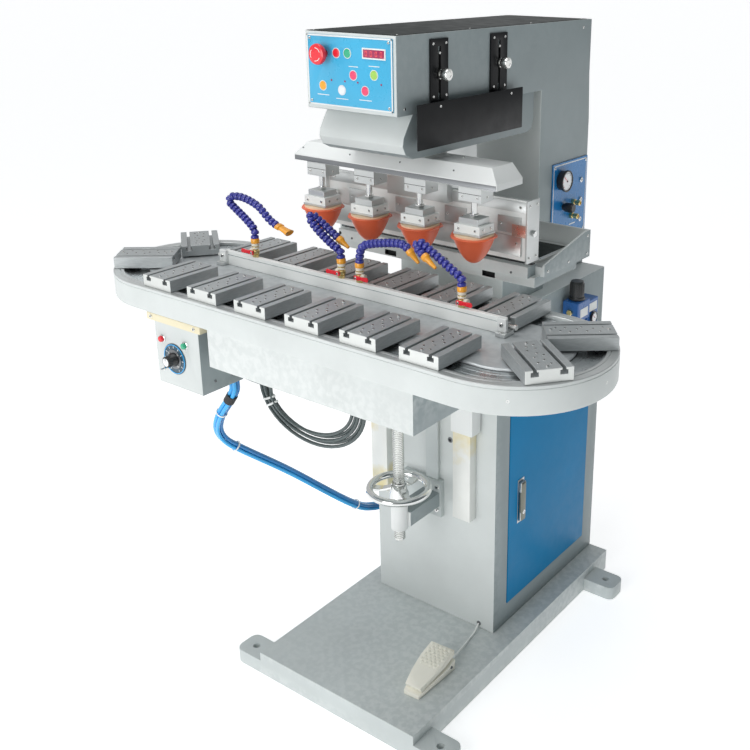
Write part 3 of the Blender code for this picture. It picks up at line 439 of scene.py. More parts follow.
class Piece:
    """Shapes gathered into one mesh, with a finish and an edge rounding for each."""

    def __init__(self, name, bevel=0.002):
        self.name = name
        self.bevel = bevel
        self.bm = bmesh.new()
        self.weight = self.bm.edges.layers.float.new("bevel_weight_edge")
        self.finishes = []

    def slot(self, finish):
        if finish not in self.finishes:
            self.finishes.append(finish)
        return self.finishes.index(finish)

    def add(self, shape, finish, bevel=0.0, matrix=None, angle=30):
        """Takes a shape; its sharp edges are rounded by bevel, or kept crisp at 0."""
        if matrix:
            bmesh.ops.transform(shape, verts=shape.verts, matrix=matrix)
        bmesh.ops.recalc_face_normals(shape, faces=shape.faces)
        layer = shape.edges.layers.float.get("bevel_weight_edge")
        layer = layer or shape.edges.layers.float.new("bevel_weight_edge")
        for edge in shape.edges:
            sharp = edge.is_manifold and edge.calc_face_angle(0) > math.radians(angle)
            edge[layer] = min(1.0, bevel / self.bevel) if sharp else 0.0
            edge.smooth = not (sharp and not bevel)
        number = self.slot(finish)
        for face in shape.faces:
            face.material_index = number
            face.smooth = True
        mesh = bpy.data.meshes.new("shape")
        shape.to_mesh(mesh)
        shape.free()
        self.bm.from_mesh(mesh)
        bpy.data.meshes.remove(mesh)
        return self

    def screws(self, places, axis, radius=0.0035, finish="screw"):
        """Low button heads with a socket in painted shade (near black), standing out along an axis."""
        height = radius * 0.55
        head = [(radius * 0.45, height * 0.95), (radius * 0.8, height), (radius, height * 0.5), (radius, -0.0004)]
        for place in places:
            self.add(turned(head[::-1], place, axis, 20), finish)
            # The socket is near black: painted shade inside it.
            self.add(turned([(0, height * 0.3), (radius * 0.46, height * 0.3), (radius * 0.46, height * 0.97)],
                            place, axis, 6), "painted_shade_and_dark_marks")
        return self

    def recolour(self, finish, test):
        """Gives the faces whose centre passes the test another finish."""
        number = self.slot(finish)
        for face in self.bm.faces:
            if test(face.calc_center_median(), face.normal):
                face.material_index = number
        return self

    def build(self, body, replaces=(), slot=None, segments=2):
        mesh = bpy.data.meshes.new(self.name)
        self.bm.to_mesh(mesh)
        self.bm.free()
        for finish in self.finishes:
            mesh.materials.append(FINISH[finish])
        obj = bpy.data.objects.new(self.name, mesh)
        bpy.context.scene.collection.objects.link(obj)
        rounding = obj.modifiers.new("rounded edges", "BEVEL")
        rounding.width = self.bevel
        rounding.segments = segments
        rounding.limit_method = "WEIGHT"
        rounding.harden_normals = True
        rounding.loop_slide = True
        if body:
            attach(obj, body)
        if replaces:
            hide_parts(*replaces)
        return obj


def copy_of(node):
    """The CAD piece's own shape, with flat faces made whole again."""
    bm = bmesh.new()
    bm.from_mesh(NODES[node].data)
    bmesh.ops.remove_doubles(bm, verts=bm.verts, dist=0.00001)
    bmesh.ops.dissolve_limit(bm, angle_limit=math.radians(1), verts=bm.verts, edges=bm.edges)
    return bm


def refined(node, finish, bevel, name=None, angle=30):
    """A piece that starts as the CAD shape with rounded edges."""
    piece = Piece(name or f"{node}_shell", bevel)
    return piece.add(copy_of(node), finish, bevel, angle=angle)


# ---------------------------------------------------------------- cords

TUBE_BUNDLE_ROUTE = (
    (-0.258, -0.493, 0.844),
    (-0.26, -0.493, 0.818),
    (-0.283, -0.494, 0.782),
    (-0.314, -0.494, 0.74),
    (-0.342, -0.482, 0.69),
    (-0.35, -0.455, 0.645),
    (-0.334, -0.412, 0.604),
    (-0.293, -0.3, 0.508),
    (-0.241, -0.13, 0.352),
    (-0.246, -0.03, 0.289),
    (-0.232, 0.04, 0.28),
    (-0.2035, 0.056, 0.282),
)
PEDAL_CORD_ROUTE = (
    (0.184, -0.2305, 0.086),
    (0.181, -0.216, 0.086),
    (0.175, -0.19, 0.08),
    (0.167, -0.155, 0.0725),
    (0.16, -0.118, 0.07),
    (0.156, -0.088, 0.071),
    (0.1515, -0.068, 0.0765),
    (0.15, -0.0602, 0.08),
)
AIR_TUBE = 0.0102
TIE_SPOTS = (23, 46, 66)
TAPE_SPOTS = (12, 13, 14, 15)
COIL_CENTRE = (-0.125, -0.38, 0.8)
COIL_HALF_X = 0.1534
COIL_HALF_Z = 0.1105
COIL_TIE = math.radians(203)
COIL_TURNS = 4.7
CABLE = 0.0084


def knurl(piece, count, x, y, z, place, finish, bevel):
    """A ring of small ribs; x, y and z give one rib and place puts the ring on its axis."""
    for i in range(count):
        piece.add(box(x, y, z), finish, bevel, place @ Matrix.Rotation(2 * math.pi * i / count, 4, "Z"))


def length_of(points):
    return sum((b - a).length for a, b in zip(points, points[1:]))


def air_tubes():
    """Four polyurethane tubes tied in a square bundle, from the control box to the pedestal."""
    middle = smooth_route(TUBE_BUNDLE_ROUTE, 90)
    lane = AIR_TUBE * 0.72
    for number, (u, v) in enumerate(((1, 0), (0, 1), (-1, 0), (0, -1))):
        points = [p + side * lane * u + other * lane * v for p, side, other in frames_along(middle)]
        tube = Piece(f"air_tube_{number + 1}").add(pipe(points, AIR_TUBE / 2),
                                                   "dark tube" if number == 2 else "tube")
        tube = tube.build(None, slot="tube_blue")
        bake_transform(tube)
        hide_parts("tube_bundle")
    ties = Piece("bundle_ties", 0.001)
    for spot, (point, side, other) in enumerate(frames_along(middle)):
        if spot in TIE_SPOTS:
            turn = Matrix((side, other, side.cross(other))).transposed().to_4x4()
            ties.add(torus((0, 0, 0), 0.0132, 0.0011, squash=1.8), "cord", matrix=Matrix.Translation(point) @ turn)
        if spot in TAPE_SPOTS:
            turn = Matrix((side, other, side.cross(other))).transposed().to_4x4()
            band = turned([(0.013, -0.004), (0.0136, -0.0035), (0.0136, 0.0035), (0.013, 0.004)])
            ties.add(band, "tape", matrix=Matrix.Translation(point) @ turn)
    ties = ties.build(None, slot="knob_black")
    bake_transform(ties)


def cable():
    """The grey lead from the control box, wound in a hanging coil that is tied at its left side."""
    lead = [Vector(p) for p in (
        (-0.244, -0.49, 0.862), (-0.225, -0.489, 0.86), (-0.207, -0.48, 0.853), (-0.2, -0.46, 0.84),
        (-0.208, -0.433, 0.824), (-0.229, -0.409, 0.812), (-0.248, -0.393, 0.8), (-0.256, -0.382, 0.783),
    )]
    coil = []
    steps = 220
    for i in range(steps + 1):
        done = COIL_TURNS * i / steps
        around = COIL_TIE + 2 * math.pi * done
        tight = 0.6 + 0.2 * (1 - math.cos(around - COIL_TIE))
        reach = (done / COIL_TURNS - 0.5) * 0.0096 * COIL_TURNS * tight
        x, y, z = COIL_CENTRE
        y -= 0.0047 * math.cos(math.pi * done)
        coil.append(Vector((x + (COIL_HALF_X + reach) * math.cos(around), y,
                            z + (COIL_HALF_Z + reach) * math.sin(around))))
    join = smooth_route([*lead, coil[0]], 26)
    points = join[:-1] + coil
    wound = Piece("control_cable").add(pipe(points, CABLE / 2, 12), "cable").build(LIFT, ["cable_coil"],
        "cable_grey")
    ties = Piece("coil_ties", 0.001)
    for a in (COIL_TIE, COIL_TIE + math.radians(8)):
        outward = Vector((math.cos(a), 0, math.sin(a)))
        at = Vector(COIL_CENTRE) + Vector((COIL_HALF_X * math.cos(a), 0, COIL_HALF_Z * math.sin(a)))
        turn = Matrix((outward, Vector((0, 1, 0)), outward.cross(Vector((0, 1, 0))))).transposed().to_4x4()
        flat = Matrix.Diagonal((1.0, 0.62, 1.0, 1.0))
        ties.add(torus((0, 0, 0), 0.019, 0.0012, squash=2.2), "cord", matrix=Matrix.Translation(at) @ turn @ flat)
    ties.build(LIFT, slot="cord_white")


def pedal_lead():
    points = smooth_route(PEDAL_CORD_ROUTE, 30)
    lead = Piece("pedal_lead").add(pipe(points, 0.0025, 12), "cord").build(BODY, ["pedal_cord"], "cord_white")


# ---------------------------------------------------------------- stand

def stand():
    refined("base_plate", "paint", 0.004).build(BODY, ["base_plate"], "body_paint", 3)
    shell = refined("pedestal", "bright", 0.003)
    # The sides and back take the darker case finish: painted shade on the faces turned away from the light.
    shell.recolour("case", lambda c, n: abs(n.x) > 0.7 or n.y > 0.7)
    shell.build(BODY, ["pedestal"], "body_paint", 3)
    details = Piece("pedestal_fittings", 0.001)
    for x, z, radius in ((0.053, 0.603, 0.007), (0.15, 0.08, 0.006)):
        ring = [(radius * 0.7, 0.0), (radius * 0.7, 0.0016), (radius, 0.0012), (radius * 1.15, 0.0)]
        details.add(turned(ring, (x, PEDESTAL_FRONT, z), "-Y", 24), "dark steel")
        # A near-black disc inside each ring: painted shade in the hole.
        details.add(turned([(0, 0.0003), (radius * 0.72, 0.0003), (radius * 0.72, 0)], (x, PEDESTAL_FRONT, z),
                           "-Y", 24), "painted_shade_and_dark_marks")
    gland = [(0.0135, 0), (0.0185, 0), (0.0185, 0.006), (0.0165, 0.009), (0.0135, 0.009)]
    details.add(turned(gland, (-0.197, 0.056, 0.282), "-X", 32), "black")
    for y in (0.03, 0.4):
        details.screws([(-0.197, y, z) for z in (0.14, 0.9)], "-X", 0.005)
    # A thin plate on the back, in the darker case finish: painted shade on the back.
    details.add(box((-0.15, 0.15), (0.4772, 0.478), (0.15, 0.88)), "case", 0.0008)
    details.build(BODY, slot="body_paint")


def door():
    panel = refined("cabinet_door", "door", 0.0016)
    panel.recolour("case", lambda c, n: c.x < DOOR_FACE - 0.001 and abs(n.x) > 0.7)
    panel.build("door", ["cabinet_door"], "door_blue", 3)
    plate = Piece("lock_plate", 0.0015)
    x = (DOOR_FACE, DOOR_FACE + 0.0009)
    for y, z in (((0.045, 0.0478), (0.355, 0.484)), ((0.0722, 0.075), (0.355, 0.484)),
                 ((0.0478, 0.0722), (0.355, 0.361)), ((0.0478, 0.0722), (0.478, 0.484))):
        plate.add(box(x, y, z), "steel", 0.0003)
    plate.build("door", slot="bright_steel")
    low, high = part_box("door_handle")
    grip = Piece("lock_grip", 0.003)
    grip.add(copy_of("door_handle"), "olive")
    grip.add(box((low.x + 0.0002, high.x - 0.003), (low.y - 0.0006, high.y + 0.0006), (0.448, high.z + 0.0004)),
             "steel", 0.002)
    grip.add(box((low.x + 0.0026, high.x - 0.003), (low.y - 0.0006, high.y + 0.0006), (low.z - 0.0002, 0.389)),
             "steel", 0.002)
    grip.add(turned([(0, 0.0002), (0.006, 0.0002), (0.0068, -0.0006), (0.0068, -0.004)], (high.x, 0.06, 0.388),
                    "X"), "chrome")
    # A near-black slot on the lock: painted shade in the keyhole.
    grip.add(box((high.x, high.x + 0.0004), (0.0592, 0.0608), (0.3845, 0.3915)), "painted_shade_and_dark_marks")
    grip.build("handle", ["door_handle"], "door_blue")


def lift():
    """Rails, bracket, threaded screw and the chrome handwheel."""
    rails = refined("lift_guide", "guide", 0.0015)
    rails.recolour("paint", lambda c, n: -0.095 < c.x < 0.035 and c.z < 0.86 and c.y > -0.1)
    # Parts in front of the pedestal take the darker case finish as painted shade; the foremost faces are then made
    # white.
    rails.recolour("case", lambda c, n: c.y < -0.1)
    rails.recolour("white", lambda c, n: c.y < -0.181)
    rails.screws([(x, -0.0733, z) for x in (-0.078, 0.02) for z in (0.392, 0.46)], "-Y", 0.0065)
    rails.build(BODY, ["lift_guide"], "guide_steel")
    low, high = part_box("lead_screw")
    pitch, per_turn = 0.005, 24
    major, minor = 0.0145, 0.0124
    teeth = ((minor, 0.0), (major, 0.26), (major, 0.56), (minor, 0.82))
    bm = bmesh.new()
    count = int((high.z - low.z - 2 * pitch) / pitch * per_turn)
    rows = []
    for i in range(count):
        a = 2 * math.pi * i / per_turn
        z = low.z + pitch * i / per_turn + 0.002
        rows.append([bm.verts.new((r * math.cos(a), -0.206 + r * math.sin(a), z + pitch * t)) for r, t in teeth])
    for i in range(count - 1):
        for k in range(3):
            bm.faces.new((rows[i][k], rows[i + 1][k], rows[i + 1][k + 1], rows[i][k + 1]))
        if i + per_turn + 1 < count:
            up = i + per_turn
            bm.faces.new((rows[i][3], rows[i + 1][3], rows[up + 1][0], rows[up][0]))
    screw = Piece("lead_screw_thread", 0.001)
    screw.add(bm, "thread")
    screw.add(rod((0, -0.206, (low.z + high.z) / 2), minor - 0.0003, high.z - low.z), "thread", 0.001)
    screw.build(LIFT, ["lead_screw"], "bright_steel")
    low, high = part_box("handwheel")
    centre = (0, -0.206, 0.512)
    wheel = Piece("handwheel_chrome", 0.002)
    wheel.add(torus(centre, 0.0755, 0.0094, around=72, steps=24), "chrome")
    hub = [(0.0155, low.z), (0.0235, low.z), (0.024, low.z + 0.003), (0.024, 0.5), (0.02, 0.512),
           (0.0196, 0.524), (0.018, high.z), (0.0158, high.z), (0.0155, low.z)]
    wheel.add(turned(hub, (0, -0.206, 0), steps=48), "chrome")
    for angle in (90, 210, 330):
        turn = Matrix.Translation(centre) @ Matrix.Rotation(math.radians(angle), 4, "Z")
        arm = [(0.018, 0.004), (0.03, -0.001), (0.046, -0.004), (0.062, -0.003), (0.074, 0.001)]
        spoke = prism([(r, z + 0.0035) for r, z in arm] + [(r, z - 0.0035) for r, z in reversed(arm)], -0.01, 0.01)
        bmesh.ops.transform(spoke, verts=spoke.verts, matrix=turn @ Matrix.Rotation(-math.pi / 2, 4, "Z"))
        wheel.add(spoke, "chrome", 0.002)
    wheel.build("wheel", ["handwheel"], "wheel_chrome", 3)


def foot_pedal():
    place = spun((0.164, -0.305, 0), math.radians(4))
    floor = 0.0663
    lower = refined("pedal_base", "pedal", 0.003)
    lower.screws([place @ Vector((0.0382, 0.052, floor + 0.018))], "X", 0.004, "dark steel")
    lower.build(BODY, ["pedal_base"], "pedal_cream")
    treadle = refined("pedal_treadle", "pedal", 0.004)
    for row in range(8):
        along = 0.004 + row * 0.0085
        rise = 0.008 / 0.052 if along > 0.02 else 0.0095 / 0.044
        height = floor + 0.048 + (along - 0.02) * rise
        columns = 5 if row % 2 else 4
        for column in range(columns):
            across = (column - (columns - 1) / 2) * 0.013
            stud = turned([(0.0056, 0), (0.005, 0.0012), (0.0028, 0.002), (0, 0.0021)], steps=4)
            tilt = Matrix.Translation((across, along, height)) @ Matrix.Rotation(math.atan(rise), 4, "X")
            treadle.add(stud, "pedal", matrix=place @ tilt)
    treadle.build("treadle", ["pedal_treadle"], "pedal_cream", 3)


# ---------------------------------------------------------------- table

def table():
    frame_box = refined("table_frame", "bright", 0.004)
    # Right-facing faces at the front take the darker case finish: painted shade on the side away from the light.
    frame_box.recolour("case", lambda c, n: n.x > 0.7 and c.y < -0.23)
    frame_box.recolour("white", lambda c, n: c.y > -0.2)
    frame_box.build(LIFT, ["table_frame"], "body_paint", 3)
    low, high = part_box("table_rim")
    rim = Piece("table_rim_casting", 0.001)
    bottom, top = low.z, high.z
    wall = [
        (RIM_R - 0.004, bottom), (RIM_R - 0.001, bottom + 0.001), (RIM_R, bottom + 0.004),
        (RIM_R, top - 0.0085), (RIM_R - 0.0012, top - 0.008), (RIM_R - 0.0012, top - 0.0068), (RIM_R, top - 0.0062),
        (RIM_R, top - 0.0012), (RIM_R - 0.0012, top), (RIM_INNER_R + 0.01, top),
        (RIM_INNER_R + 0.0092, top - 0.0012),
        (RIM_INNER_R + 0.0082, top - 0.0012), (RIM_INNER_R + 0.0074, top), (RIM_INNER_R + 0.001, top),
        (RIM_INNER_R, top - 0.001), (RIM_INNER_R, bottom),
    ]
    rim.add(oval(wall), "bright")
    rim.recolour("plate", lambda c, n: n.z > 0.5 and c.z > top - 0.002)
    # The tray floor inside the rim is in the darker case finish: painted shade deep inside the table.
    rim.add(prism(oval_outline(RIM_INNER_R), bottom + 0.0002, bottom + 0.006, "XY"), "case")
    for side in (-1, 1):
        for angle in (-60, 0, 60):
            a = math.radians(angle) + (math.pi if side < 0 else 0)
            at = Vector((side * ARC_X + RIM_R * math.cos(a), TABLE_Y + RIM_R * math.sin(a), top - 0.03))
            head = turned([(0.0032, -0.002), (0.0032, 0.0), (0.0024, 0.0), (0, -0.001)], steps=16)
            rim.add(head, "screw", matrix=Matrix.Translation(at) @ towards((math.cos(a), math.sin(a), 0)))
    rim.build(LIFT, ["table_rim"], "rim_paint")
    track = Piece("track_ring", 0.001)
    ring = [
        (TRACK_R, TRACK_TOP - 0.005), (TRACK_R, TRACK_TOP), (0.14, TRACK_TOP), (0.1405, TRACK_TOP - 0.0006),
        (0.142, TRACK_TOP - 0.0006), (0.1425, TRACK_TOP), (0.1585, TRACK_TOP), (0.159, TRACK_TOP - 0.0006),
        (0.16, TRACK_TOP - 0.0006), (0.1605, TRACK_TOP), (0.1755, TRACK_TOP), (0.1762, TRACK_TOP + 0.0022),
        (0.1815, TRACK_TOP + 0.0022), (0.1818, TRACK_TOP - 0.005),
    ]
    track.add(oval(ring), "track")
    track.build(LIFT, slot="deck_metal")
    low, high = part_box("inner_deck")
    deck = Piece("deck_plate", 0.001)
    edge = [(DECK_R - 0.01, TRACK_TOP + 0.0001), (DECK_R - 0.0006, TRACK_TOP + 0.0001),
            (DECK_R, TRACK_TOP + 0.0012),
            (DECK_R - 0.0004, TRACK_TOP + 0.0028), (DECK_R - 0.0018, TRACK_TOP + 0.0042), (DECK_R - 0.0045, high.z),
            (DECK_R - 0.01, high.z)]
    deck.add(oval(edge), "deck")
    deck.add(prism(oval_outline(DECK_R - 0.0099), TRACK_TOP, high.z, "XY"), "deck")
    deck.add(box((-0.288, 0.288), (TABLE_Y - 0.049, TABLE_Y + 0.049), (low.z, TRACK_TOP)), "dark steel", 0.001)
    for side in (-1, 1):
        rings = [(0.03, 0.0), (0.0305, 0.0006), (0.0335, 0.0006), (0.034, 0.0)]
        deck.add(turned(rings, (side * ARC_X, TABLE_Y, high.z - 0.0007), steps=64), "plate")
    deck.build(LIFT, ["inner_deck"], "deck_metal")
    for name in ("right", "left"):
        disc = refined(f"{name}_index_disc", "steel", 0.001, f"{name}_disc_steel")
        disc.build(f"{name}_end", [f"{name}_index_disc"], "deck_metal")


def jig_shape():
    """One work-holding jig along -Y from the conveyor's centre: T-slots, tapped holes and cap screws."""
    half, low, top = 0.04665, 1.0747, 1.1019
    lip, floor = top - 0.005, top - 0.013
    right = [
        (0.0245, top), (0.0245, lip), (0.0205, lip), (0.0205, floor), (0.0355, floor), (0.0355, lip), (0.0315, lip),
        (0.0315, top), (half, top), (half, low),
    ]
    near, far = 0.06, 0.199
    bm = bmesh.new()
    face = bm.faces.new([bm.verts.new((x, -near, z)) for x, z in right + [(-x, z) for x, z in reversed(right)]])
    made = bmesh.ops.extrude_face_region(bm, geom=[face])
    moved = [v for v in made["geom"] if isinstance(v, bmesh.types.BMVert)]
    bmesh.ops.translate(bm, verts=moved, vec=(0, near - far, 0))
    jig = Piece("jig_block", 0.0012)
    jig.add(bm, "jig", 0.0011)
    jig.recolour("jig end", lambda c, n: n.y < -0.7)
    holes = [(0.01, 0.082), (-0.006, 0.09), (0.008, 0.101), (-0.011, 0.108), (0.002, 0.124), (0.012, 0.134),
             (-0.009, 0.142), (0.005, 0.156), (-0.011, 0.168), (0.011, 0.176)]
    for x, y in holes:
        rim = [(0.0021, -0.0002), (0.0021, 0.00035), (0.0029, 0.00025), (0.0031, -0.0002)]
        jig.add(turned(rim, (x, -y, top), steps=18), "screw")
        # Each tapped hole is a near-black disc: painted shade in the hole.
        jig.add(turned([(0, 0.00012), (0.0022, 0.00012), (0.0022, 0)], (x, -y, top), steps=18), "painted_shade_and_dark_marks")
    jig.screws([(0.0, -0.072, top), (0.0, -0.187, top)], "Z", 0.0036)
    # A black foot under the outer end reaches into the track slot; the foot is real, and its black also paints the
    # shade under the jig.
    jig.add(box((-0.01, 0.01), (-0.17, -0.15), (1.0663, low + 0.001)), "black", 0.001)
    return jig


def jigs():
    """Sixteen jigs on one mesh: six along each side and two at each end."""
    places = []
    for i in range(6):
        x = (i - 2.5) * PITCH
        places.append((f"front_jig_{i + 1}", "front_row", (x, TABLE_Y), 0))
        places.append((f"back_jig_{i + 1}", "back_row", (-x, TABLE_Y), math.pi))
    for name, side in (("right", 1), ("left", -1)):
        for i, turn in enumerate((-38.5, 38.5)):
            angle = side * math.pi / 2 + math.radians(turn)
            places.append((f"{name}_end_jig_{i + 1}", f"{name}_end", (side * ARC_X, TABLE_Y), angle))
    first = jig_shape().build(None)
    for node, body, centre, angle in places:
        obj = first.copy()
        obj.name = f"{node}_block"
        bpy.context.scene.collection.objects.link(obj)
        obj.matrix_world = spun((*centre, 0), angle)
        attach(obj, body)
        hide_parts(node)
    bpy.data.objects.remove(first)


def centre_bar():
    bar = Piece("centre_bar_rail", 0.0015)
    low = 1.0713
    bar.add(box((-0.4125, 0.4125), (-0.362, -0.35), (low, BAR_TOP)), "anodised", 0.0012)
    bar.add(box((-0.4, 0.4), (-0.3625, -0.3619), (BAR_TOP - 0.01, BAR_TOP - 0.0085)), "case")
    for side in (-1, 1):
        x = sorted((side * 0.4005, side * 0.4245))
        bar.add(box(x, (-0.38, -0.346), (low, low + 0.008)), "plate", 0.0012)
        bar.add(box(sorted((side * 0.399, side * 0.421)), (-0.3705, -0.3622), (low + 0.008, BAR_TOP + 0.002)),
                "white", 0.0012)
        bar.screws([(side * 0.41, -0.3705, 1.094)], "-Y", 0.0052)
        bar.add(turned([(0.0045, 0), (0.0045, 0.018), (0.0062, 0.019), (0.0062, 0.025), (0, 0.025)],
                       (side * 0.4125, -0.356, 1.09), "X" if side > 0 else "-X", 6), "screw", 0.0005)
        bar.screws([(side * 0.413, -0.376, low + 0.008)], "Z", 0.0035)
    bar.build(LIFT, ["centre_bar"], "carriage_aluminium")


# Each route runs from the top of a valve to its nozzle tip: X, Z and how far behind the bar's middle.
HOSE_ROUTES = (
    ((-0.307, 1.15, 0.0), (-0.31, 1.172, 0.002), (-0.338, 1.192, 0.005), (-0.374, 1.211, 0.008),
     (-0.397, 1.225, 0.01), (-0.391, 1.239, 0.012), (-0.359, 1.24, 0.018), (-0.314, 1.225, 0.022),
     (-0.273, 1.192, 0.026), (-0.219, 1.173, 0.03)),
    ((-0.031, 1.15, 0.0), (-0.035, 1.167, 0.001), (-0.063, 1.181, 0.002), (-0.099, 1.203, 0.003),
     (-0.123, 1.224, 0.004), (-0.127, 1.234, 0.012), (-0.111, 1.221, 0.02), (-0.074, 1.198, 0.022),
     (-0.027, 1.171, 0.022)),
    ((0.023, 1.15, 0.0), (0.025, 1.168, 0.0), (0.029, 1.181, 0.0), (0.041, 1.194, 0.0), (0.084, 1.206, 0.0),
     (0.139, 1.214, 0.0), (0.161, 1.206, 0.0), (0.169, 1.192, 0.0), (0.166, 1.17, 0.0)),
    ((0.302, 1.15, 0.0), (0.299, 1.168, 0.0), (0.271, 1.185, 0.0), (0.225, 1.211, 0.0), (0.198, 1.226, -0.002),
     (0.192, 1.218, -0.008), (0.215, 1.204, -0.014), (0.234, 1.195, -0.016), (0.251, 1.185, -0.018)),
)
LINK = 0.0118
NOZZLE = 0.034


def evenly(points, step):
    """Points a fixed distance apart along a route, each with its direction."""
    made = []
    travelled, due = 0.0, 0.0
    for a, b in zip(points, points[1:]):
        span = (b - a).length
        while due <= travelled + span:
            made.append((a.lerp(b, (due - travelled) / span), (b - a).normalized()))
            due += step
        travelled += span
    return made


def blow_off():
    """Valves with red levers, and segmented ball-and-socket hoses with orange nozzles."""
    # One ball-and-socket link of a hose, as a turned profile.
    link = [(0.0054, 0.0), (0.0092, 0.0014), (0.0098, 0.0032), (0.0098, 0.006), (0.009, 0.0082), (0.006, 0.0102),
            (0.0056, 0.0124)]
    for i, through in enumerate(HOSE_ROUTES):
        route = [(x, BAR_MIDDLE_Y + back, z) for x, z, back in through]
        x, y, _ = route[0]
        hose = Piece(f"air_hose_{i + 1}_links", 0.001)
        line = smooth_route(route, 400)
        whole = length_of(line)
        count = int((whole - NOZZLE) / LINK)
        beads = evenly(line, LINK)
        for point, ahead in beads[:count]:
            hose.add(turned(link, steps=20, matrix=Matrix.Translation(point) @ towards(ahead)), "hose")
        point, ahead = beads[count]
        reach = whole - count * LINK
        cone = [(0.0066, 0), (0.0092, 0.001), (0.0092, 0.009), (0.007, 0.012), (0.0034, reach - 0.001),
                (0.0024, reach - 0.0004), (0.0018, reach - 0.004), (0.0, reach - 0.004)]
        turn = Matrix.Translation(point) @ towards(ahead)
        if i == 0:
            fan = Matrix.Diagonal((1.5, 0.75, 1, 1))
            cone = cone[:4] + [(0.008, reach * 0.7), (0.0098, reach - 0.001), (0.006, reach - 0.002),
                               (0, reach - 0.006)]
            turn = turn @ fan
        hose.add(turned(cone, steps=24, matrix=turn), "orange")
        base = [(0.0078, BAR_TOP), (0.0084, BAR_TOP + 0.001), (0.0084, 1.1125), (0.007, 1.113)]
        hose.add(turned(base, (x, y, 0), steps=6), "brass")
        ball = [(0.0062, 1.1125), (0.0088, 1.1145), (0.0094, 1.1185), (0.0088, 1.123), (0.0066, 1.125),
                (0.0066, 1.127), (0.0084, 1.1275), (0.0084, 1.133), (0.0068, 1.1335)]
        hose.add(turned(ball, (x, y, 0), steps=28), "brass")
        hose.add(turned([(0.0094, 1.127), (0.0099, 1.129), (0.0094, 1.131)], (x, y, 0), steps=28), "ivory")
        hose.add(turned([(0.007, 1.133), (0.0092, 1.134), (0.0092, 1.14), (0.007, 1.1405)], (x, y, 0)), "ivory")
        ring = [(0.0084, 1.14), (0.0103, 1.141), (0.0105, 1.149), (0.009, 1.152), (0.006, 1.1525)]
        hose.add(turned(ring, (x, y, 0)), "orange")
        away = "-X" if i < 2 else "X"
        port = [(0.006, 0.006), (0.0074, 0.007), (0.0074, 0.015), (0.006, 0.016), (0.004, 0.016)]
        hose.add(turned(port, (x, y, 1.1185), away, 20), "ivory")
        hose.build(LIFT, [f"air_hose_{i + 1}"], "hose_blue")
        side = -1 if i < 2 else 1
        front = y - 0.0112
        lever = Piece(f"valve_lever_{i + 1}_grip", 0.0015)
        outline = [(-0.006, -0.005), (0.008, -0.005), (0.013, -0.0036), (0.033, -0.0052), (0.036, 0.0),
                   (0.033, 0.0058), (0.012, 0.0046), (0.006, 0.0056), (-0.005, 0.005)]
        outline = [(side * u, 1.119 + v) for u, v in outline]
        grip = prism([(v, u) for u, v in outline], 0, 0.0036)
        swap = Matrix(((0, 0, 1, x), (-1, 0, 0, front), (0, 1, 0, 0), (0, 0, 0, 1)))
        bmesh.ops.transform(grip, verts=grip.verts, matrix=swap)
        lever.add(grip, "red", 0.0014)
        lever.add(rod((x, front + 0.0007, 1.119), 0.0035, 0.002, "Y"), "brass")
        lever.screws([(x, front - 0.0036, 1.119)], "-Y", 0.0032)
        lever.build(f"valve_lever_{i + 1}", [f"valve_handle_{i + 1}"], "lever_red")


